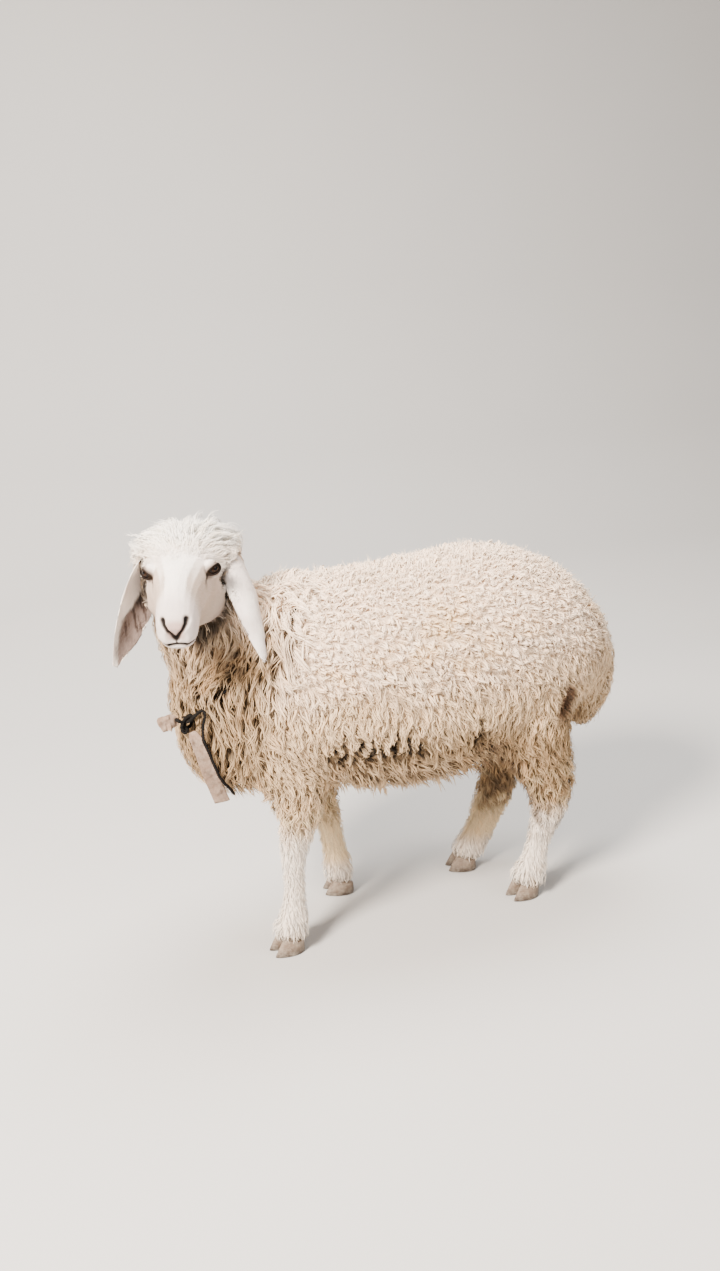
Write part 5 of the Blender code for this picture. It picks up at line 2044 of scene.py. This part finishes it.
# ---------------------------------------------------------------- eyes and hooves
@dataclass
class Eyeball:
    """One eyeball with its clear bulge, iris and level pupil."""

    shape: EyeShape
    label: str
    clearance: float = 0.0003       # between the ball and its lids
    bulge: float = 0.0011
    pupil_long: float = 0.34
    pupil_high: float = 0.17

    def build(self, effects: Effects) -> None:
        """Make the eyeball and put it in its node's place."""
        gaze = self.shape.axes()[0]
        level = unit(np.array((1.0, -self.shape.side * 0.30, 0.25)))
        level = unit(level - gaze * (level @ gaze))
        work = bmesh.new()
        bmesh.ops.create_uvsphere(work, u_segments=64, v_segments=48, radius=1.0)
        ball = put_down(f"eyeball_{self.label}", work)
        places = points_of(ball)
        x, y, z = places.T
        tilt = np.arccos(np.clip(z, -1.0, 1.0))
        bulge = self.bulge * ease(0.75, 0.0, tilt)
        local = places[:, 0:1] * level + places[:, 1:2] * np.cross(gaze, level) + places[:, 2:3] * gaze
        local = self.shape.centre + local * (self.shape.radius - self.clearance + bulge)[:, None]
        set_points(ball, HEAD.to_world(local))
        face_outward(ball.data)
        ball.data.shade_smooth()
        behind = z < 0.0
        radius = np.arcsin(np.clip(np.linalg.norm(places[:, :2], axis=1), 0.0, 1.0))
        radius = np.where(behind, math.pi - radius, radius)
        pupil = np.where(behind, 3.0, np.sqrt((x / self.pupil_long) ** 2 + (y / self.pupil_high) ** 2))
        turn = (np.arctan2(y, x) + math.pi) / math.tau
        write_colours(ball, "iris", np.stack([radius, np.minimum(pupil, 3.0), turn], axis=1))
        eye = f"eye_{self.label}"
        dress(ball, EyeFinish(eye).build(effects), Slot.EYE, eye)


@dataclass
class Claw:
    """One half of a cloven hoof, finer than its solid."""

    node: str
    edge: float = 0.0016
    ring: float = 0.00022           # how high its growth rings stand
    roughness: float = 0.00025

    def build(self, material: Material) -> None:
        """Make the claw and put it in its node's place."""
        claw = merged_copy(self.node, quads=True)
        claw.name = f"{self.node}_horn"
        round_edges(claw, self.edge, 50.0)
        subdivided(claw)
        points, normals = points_of(claw), normals_of(claw)
        wall = np.clip(1.0 - np.abs(normals[:, 2]) * 1.3, 0.0, 1.0)
        rings = np.sin(points[:, 2] * 1500.0 + ripple(points, 0.02, 51)) * self.ring
        rough = ripple(points, 0.006, 52) * self.roughness
        points = points + normals * ((rings + rough) * wall)[:, None]
        points[:, 2] = np.maximum(points[:, 2], 0.0)
        set_points(claw, points)
        claw.data.shade_smooth()
        dress(claw, material, Slot.HORN, self.node)


# ---------------------------------------------------------------- the collar
@dataclass(frozen=True)
class CordSize:
    """A twisted cord's measures in metres."""

    cord: float = 0.003             # its radius
    strand: float = 0.00165         # each strand's radius
    pitch: float = 0.0150           # the length of one full twist
    strands: int = 3

    def sockets(self) -> dict[str, float]:
        """The measures by the names of the cord tree's inputs."""
        return {"Cord Radius": self.cord, "Strand Radius": self.strand, "Twist Pitch": self.pitch,
                "Strands": self.strands}


class CordMaker:
    """Twists strands round a route with Geometry Nodes."""

    def __init__(self, finish: Material) -> None:
        """Build the node tree once, for cords of one finish."""
        self.finish = finish
        self.tree = bpy.data.node_groups.new("twisted_cord", "GeometryNodeTree")
        self.sizes: dict[str, str] = {}
        self.socket("Geometry", "Geometry")
        for name, value in CordSize().sockets().items():
            self.socket(name, "Int" if isinstance(value, int) else "Float", value)
        self.socket("Finish", "Material")
        self.tree.interface.new_socket("Geometry", in_out="OUTPUT", socket_type="NodeSocketGeometry")
        self.wire()

    def socket(self, name: str, kind: str, value: float | None = None) -> None:
        """Add one input to the tree."""
        made = self.tree.interface.new_socket(name, in_out="INPUT", socket_type=f"NodeSocket{kind}")
        if value is not None:
            made.default_value = value
        self.sizes[name] = made.identifier

    def wire(self) -> None:
        """Wire the tree: strands on a circle, turned about the route, swept and realized."""
        graph = Graph(self.tree)
        given, out = graph.node("NodeGroupInput").outputs, graph.node("NodeGroupOutput")
        lines = graph.node("GeometryNodeDuplicateElements", {"Geometry": given["Geometry"],
                                                              "Amount": given["Strands"]}, domain="SPLINE")
        length = graph.node("GeometryNodeSplineParameter").outputs["Length"]
        angle = graph.maths("DIVIDE", length, given["Twist Pitch"])
        start = graph.maths("DIVIDE", lines.outputs["Duplicate Index"], given["Strands"])
        turn = graph.times(graph.plus(angle, start), math.tau)
        ray = graph.node("ShaderNodeVectorRotate", {
            "Vector": graph.node("GeometryNodeInputNormal").outputs[0],
            "Axis": graph.node("GeometryNodeInputTangent").outputs[0], "Angle": turn},
            rotation_type="AXIS_ANGLE").outputs[0]
        reach = graph.maths("SUBTRACT", given["Cord Radius"], given["Strand Radius"])
        moved = graph.node("GeometryNodeSetPosition", {"Geometry": lines.outputs[0],
                                                       "Offset": graph.scaled(ray, reach)})
        ring = graph.node("GeometryNodeCurvePrimitiveCircle", {"Resolution": 7,
                                                               "Radius": given["Strand Radius"]})
        swept = graph.node("GeometryNodeCurveToMesh", {"Curve": moved.outputs[0],
                                                       "Profile Curve": ring.outputs[0], "Fill Caps": True})
        real = graph.node("GeometryNodeRealizeInstances", {"Geometry": swept.outputs[0]})
        painted = graph.node("GeometryNodeSetMaterial", {"Geometry": real.outputs[0],
                                                         "Material": given["Finish"]})
        self.tree.links.new(painted.outputs[0], out.inputs[0])

    def make(self, name: str, route: Array, closed: bool, size: CordSize) -> Object:
        """Make one cord.

        Args:
            name: the piece's name.
            route: the points it follows.
            closed: whether it is a ring.
            size: its measures.

        Returns:
            The cord as a plain mesh.
        """
        curve = bpy.data.curves.new(name, "CURVE")
        curve.dimensions = "3D"
        spline = curve.splines.new("POLY")
        spline.points.add(len(route) - 1)
        places = np.column_stack([route, np.ones(len(route))])
        spline.points.foreach_set("co", places.astype(np.float32).ravel())
        spline.use_cyclic_u = closed
        line = linked(f"{name}_line", curve)
        step = line.modifiers.new("twist", "NODES")
        step.node_group = self.tree
        for key, value in {**size.sockets(), "Finish": self.finish}.items():
            step[self.sizes[key]] = value
        mesh = bpy.data.meshes.new_from_object(line.evaluated_get(bpy.context.evaluated_depsgraph_get()))
        mesh.name = name
        remove(line)
        mesh.shade_smooth()
        cord = linked(name, mesh)
        face_outward(mesh)
        return cord


@dataclass(frozen=True)
class Strip:
    """A worn strip of leather with a thickness and uneven, curled edges."""

    name: str
    route: Array
    width: Array            # along the route
    cup: Array              # how far its edges curl forward, along the route
    thickness: float
    seed: int               # for its unevenness
    crumple: float = 1.0    # how uneven it is
    columns: int = 13       # points across it

    def build(self) -> Object:
        """Make the closed strip."""
        facing, columns = unit(np.array((0.35, 0.90, 0.10))), self.columns
        along = unit(np.gradient(self.route, axis=0))
        normal = unit(facing - along * (along @ facing)[:, None])
        across = np.cross(along, normal)
        share = np.linspace(-0.5, 0.5, columns)
        front = (self.route[:, None] + across[:, None] * (share[None, :, None] * self.width[:, None, None])
                 + normal[:, None] * (self.cup[:, None] * (share[None] * 2.0) ** 2)[:, :, None])
        front = front.reshape(-1, 3)
        shift = ripple(front, 0.016, self.seed) * 0.0007 + ripple(front, 0.006, self.seed + 1) * 0.00025
        normals = np.repeat(normal, columns, axis=0)
        front = front + normals * (self.crumple * shift)[:, None]
        half = normals * self.thickness / 2.0
        piece = mesh_object(self.name, np.concatenate([front + half, front - half]), self.faces(len(front)))
        face_outward(piece.data)
        round_edges(piece, self.thickness * 0.28)
        bake_down(piece)
        piece.data.shade_smooth()
        return piece

    def faces(self, offset: int) -> list[tuple[int, ...]]:
        """The faces of the front, the back and the rim; the back's points start at the offset."""
        rows, columns = len(self.route), self.columns
        faces = []
        for row in range(rows - 1):
            for column in range(columns - 1):
                a = row * columns + column
                faces += [(a, a + 1, a + columns + 1, a + columns),
                          (offset + a, offset + a + columns, offset + a + columns + 1, offset + a + 1)]
        rim = list(range(columns)) + [row * columns + columns - 1 for row in range(1, rows)]
        rim += [(rows - 1) * columns + column for column in range(columns - 2, -1, -1)]
        rim += [row * columns for row in range(rows - 2, 0, -1)]
        return faces + [(a, offset + a, offset + b, b) for a, b in zip(rim, rim[1:] + rim[:1])]


@dataclass
class Collar:
    """The cord collar with its knot, strap, scrap and loose end."""

    size: CordSize = CordSize()
    knot_size: CordSize = CordSize(strand=0.0017, pitch=0.014)
    sunk: float = 0.0072        # how deep the wool of the neck holds the ring
    ring_middle: tuple[float, float, float] = (0.287, 0.005, 0.541)
    ring_lean: float = math.radians(48.0)
    ring_points: int = 72
    knot_place: tuple[float, float, float] = (0.3835, 0.0705, 0.459)
    end_route = ((0.380, 0.077, 0.461), (0.374, 0.083, 0.467), (0.368, 0.090, 0.475), (0.362, 0.095, 0.483),
                 (0.357, 0.099, 0.486), (0.354, 0.102, 0.480), (0.356, 0.102, 0.469), (0.359, 0.101, 0.457),
                 (0.360, 0.102, 0.446), (0.360, 0.104, 0.434), (0.356, 0.106, 0.422), (0.352, 0.107, 0.410),
                 (0.348, 0.107, 0.396), (0.343, 0.106, 0.382), (0.338, 0.103, 0.367), (0.329, 0.098, 0.351),
                 (0.318, 0.087, 0.335), (0.309, 0.076, 0.319))
    strap_route = ((0.374, 0.086, 0.447), (0.364, 0.094, 0.418), (0.354, 0.093, 0.380), (0.342, 0.085, 0.342),
                   (0.330, 0.075, 0.308))
    scrap_route = ((0.394, 0.067, 0.458), (0.404, 0.071, 0.463), (0.415, 0.071, 0.462), (0.424, 0.068, 0.456))

    def build(self, effects: Effects) -> None:
        """Make every part of the collar."""
        self.cord_finish = CordFinish().build(effects)
        self.leather = LeatherFinish().build(effects)
        self.maker = CordMaker(self.cord_finish)
        self.build_ring()
        self.build_knot()
        self.build_end()
        self.build_strap()
        self.build_scrap()

    def ring_route(self) -> Array:
        """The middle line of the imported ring, read sector by sector."""
        middle = np.array(self.ring_middle) + np.array(BODY_SHIFT)
        ahead = np.array((math.sin(self.ring_lean), 0.0, -math.cos(self.ring_lean)))
        points = points_of(frame["nodes"]["collar_cord"]) - middle
        angle = np.arctan2(points @ SIDEWAYS, points @ ahead)
        reach = np.hypot(points @ SIDEWAYS, points @ ahead)
        route = []
        for sector in np.linspace(-math.pi, math.pi, self.ring_points, endpoint=False):
            gap = np.abs((angle - sector + math.pi) % math.tau - math.pi)
            weight = np.exp(-(gap / 0.13) ** 2) + 1e-9
            size = np.sum(reach * weight) / np.sum(weight)
            outward = ahead * math.cos(sector) + SIDEWAYS * math.sin(sector)
            sunk = self.sunk * float(ease(*Fleece.behind_knot, (middle + outward * size)[0]))
            route.append(middle + outward * (size - sunk))
        return np.array(route)

    def build_ring(self) -> None:
        """The cord round the neck."""
        ring = self.maker.make("collar_ring", self.ring_route(), True, self.size)
        dress(ring, self.cord_finish, Slot.CORD, "collar_cord")

    def build_knot(self) -> None:
        """The tangled knot: two hitches drawn tight round each other."""
        def hitch(t: float) -> tuple[float, float, float]:
            """The first loop's route."""
            return (0.0098 * math.sin(t) + 0.0068 * math.sin(2 * t), 0.0052 * math.sin(3 * t),
                    0.0104 * math.cos(t) - 0.0072 * math.cos(2 * t))

        def turn(t: float) -> tuple[float, float, float]:
            """The second loop's route."""
            return 0.0105 * math.cos(t), 0.0084 * math.sin(t), 0.0125 * math.sin(t) * 0.8 - 0.005

        centre = np.array(self.knot_place) + np.array(BODY_SHIFT)
        parts = []
        for name, loop, count, angle, axis in (("hitch", hitch, 90, 0.5, "Z"), ("turn", turn, 60, 1.1, "Y")):
            points = np.array([loop(math.tau * k / count) for k in range(count)])
            route = centre + points @ np.array(Matrix.Rotation(angle, 3, axis)).T
            parts.append(self.maker.make(name, route, True, self.knot_size))
        knot = joined("collar_tangle", parts)
        knot.data.shade_smooth()
        dress(knot, self.cord_finish, Slot.CORD, "collar_knot")

    def build_end(self) -> None:
        """The loose end: a small loop up from the knot, then hanging past the strap."""
        route = smooth_route(self.end_route, 60)
        end = self.maker.make("collar_loose_end", route, False, self.size)
        dress(end, self.cord_finish, Slot.CORD, "collar_cord_end")

    def build_strap(self) -> None:
        """The worn strap that hangs from the knot."""
        s = np.linspace(0.0, 1.0, 60)
        width = np.interp(s, (0.0, 0.06, 0.2, 0.9, 1.0), (0.012, 0.019, 0.0245, 0.026, 0.027))
        cup = 0.0030 * np.exp(-(s / 0.18) ** 2) - 0.0012 * s
        strap = Strip("collar_worn_strap", smooth_route(self.strap_route, len(s)), width, cup, 0.0028, 61)
        dress(strap.build(), self.leather, Slot.LEATHER, "collar_strap")

    def build_scrap(self) -> None:
        """The crumpled scrap caught in the knot."""
        s = np.linspace(0.0, 1.0, 32)
        width = np.interp(s, (0.0, 0.15, 0.4, 0.6, 0.8, 1.0), (0.010, 0.020, 0.029, 0.024, 0.028, 0.021))
        cup = 0.0035 * np.sin(s * 5.0)
        scrap = Strip("collar_torn_scrap", smooth_route(self.scrap_route, len(s)), width, cup, 0.0024, 65,
                      crumple=3.0)
        dress(scrap.build(), self.leather, Slot.LEATHER, "collar_scrap")


# ---------------------------------------------------------------- the studio
@dataclass(frozen=True)
class Lamp:
    """A soft round lamp that points at a place."""

    name: str
    place: tuple[float, float, float]
    aim: tuple[float, float, float]
    size: float
    power: float
    colour: Colour

    def build(self) -> None:
        """Hang the lamp."""
        data = bpy.data.lights.new(self.name, "AREA")
        data.shape = "DISK"
        data.size = self.size
        data.energy = self.power
        data.color = self.colour
        place = Vector(self.place)
        turn = (Vector(self.aim) - place).to_track_quat("-Z", "Y").to_matrix().to_4x4()
        linked(self.name, data).matrix_world = Matrix.Translation(place) @ turn


@dataclass
class Studio:
    """Floor, light and camera."""

    camera_place: tuple[float, float, float] = (0.6878, 1.7889, 1.11)
    heading: float = math.radians(20.0)
    pitch: float = math.radians(16.4)
    roll: float = math.radians(1.87)
    lens: float = 31.72
    sky: Colour = (1.0, 0.985, 0.97)
    sky_strength: float = 0.50
    lamps = (Lamp("key", (2.6, 1.8, 3.0), (0.0, 0.0, 0.45), 1.1, 770.0, (1.0, 0.89, 0.775)),
             Lamp("fill", (-2.2, 2.6, 2.2), (0.0, 0.0, 0.4), 2.6, 62.0, (1.0, 0.95, 0.89)),
             Lamp("top", (-0.2, -0.6, 3.4), (0.0, 0.0, 0.4), 1.8, 190.0, (1.0, 0.97, 0.93)))

    def build(self, effects: Effects) -> None:
        """Make the whole studio."""
        self.build_floor(effects)
        self.build_camera()
        for lamp in self.lamps:
            lamp.build()
        self.build_sky()

    @staticmethod
    def build_floor(effects: Effects) -> None:
        """A wide pale floor that curves up far behind."""
        rows = [(-6.0, 0.0), (3.0, 0.0), (4.0, 0.12), (4.7, 0.5), (5.1, 1.2), (5.3, 3.5)]
        points = [(x, 1.8 - away, height - 0.0004) for away, height in rows for x in (-8.0, 9.0)]
        faces = [(2 * k, 2 * k + 2, 2 * k + 3, 2 * k + 1) for k in range(len(rows) - 1)]
        floor = mesh_object("floor", np.array(points), faces)
        floor.data.materials.append(FloorFinish().build(effects))

    def build_camera(self) -> None:
        """The camera at a standing person's chest height."""
        ahead = Vector((-math.sin(self.heading), -math.cos(self.heading), 0.0))
        right = Vector((-math.cos(self.heading), math.sin(self.heading), 0.0))
        up = Vector((0.0, 0.0, 1.0))
        forward = ahead * math.cos(self.pitch) - up * math.sin(self.pitch)
        top = ahead * math.sin(self.pitch) + up * math.cos(self.pitch)
        x_axis = right * math.cos(self.roll) - top * math.sin(self.roll)
        y_axis = right * math.sin(self.roll) + top * math.cos(self.roll)
        matrix = Matrix((x_axis, y_axis, -forward)).transposed().to_4x4()
        matrix.translation = Vector(self.camera_place)
        camera = linked("camera", bpy.data.cameras.new("camera"))
        camera.matrix_world = matrix
        camera.data.lens = self.lens
        camera.data.sensor_width = 36.0
        camera.data.clip_start = 0.05
        bpy.context.scene.camera = camera

    def build_sky(self) -> None:
        """An even, soft sky."""
        world = bpy.data.worlds.new("studio_sky")
        world.use_nodes = True
        sky = world.node_tree.nodes["Background"].inputs
        sky["Color"].default_value = (*self.sky, 1.0)
        sky["Strength"].default_value = self.sky_strength
        bpy.context.scene.world = world


def main() -> None:
    """Build the sheep, its collar and the studio."""
    logging.basicConfig(level=logging.INFO, format="%(relativeCreated)d ms %(message)s")
    effects = Effects()
    Studio().build(effects)
    collar = Collar()
    collar.build(effects)
    log.info("studio and collar done")
    colours = CoatColours()
    skin = Skin()
    skin.build()
    skin.finish(colours, effects)
    log.info("skin done")
    horn = HornFinish().build(effects)
    for node in frame["nodes"]:
        if node.startswith("claw_"):
            Claw(node).build(horn)
    for eye, label in zip(EYES, ("left", "right")):
        Eyeball(eye, label).build(effects)
    log.info("eyes and hooves done")
    fleece = Fleece(skin, colours, collar.ring_route())
    for number, group in enumerate(COAT_GROUPS):
        fleece.grow(group, effects, 100 + number)
    log.info("coat done")


if __name__ == "__main__":
    main()
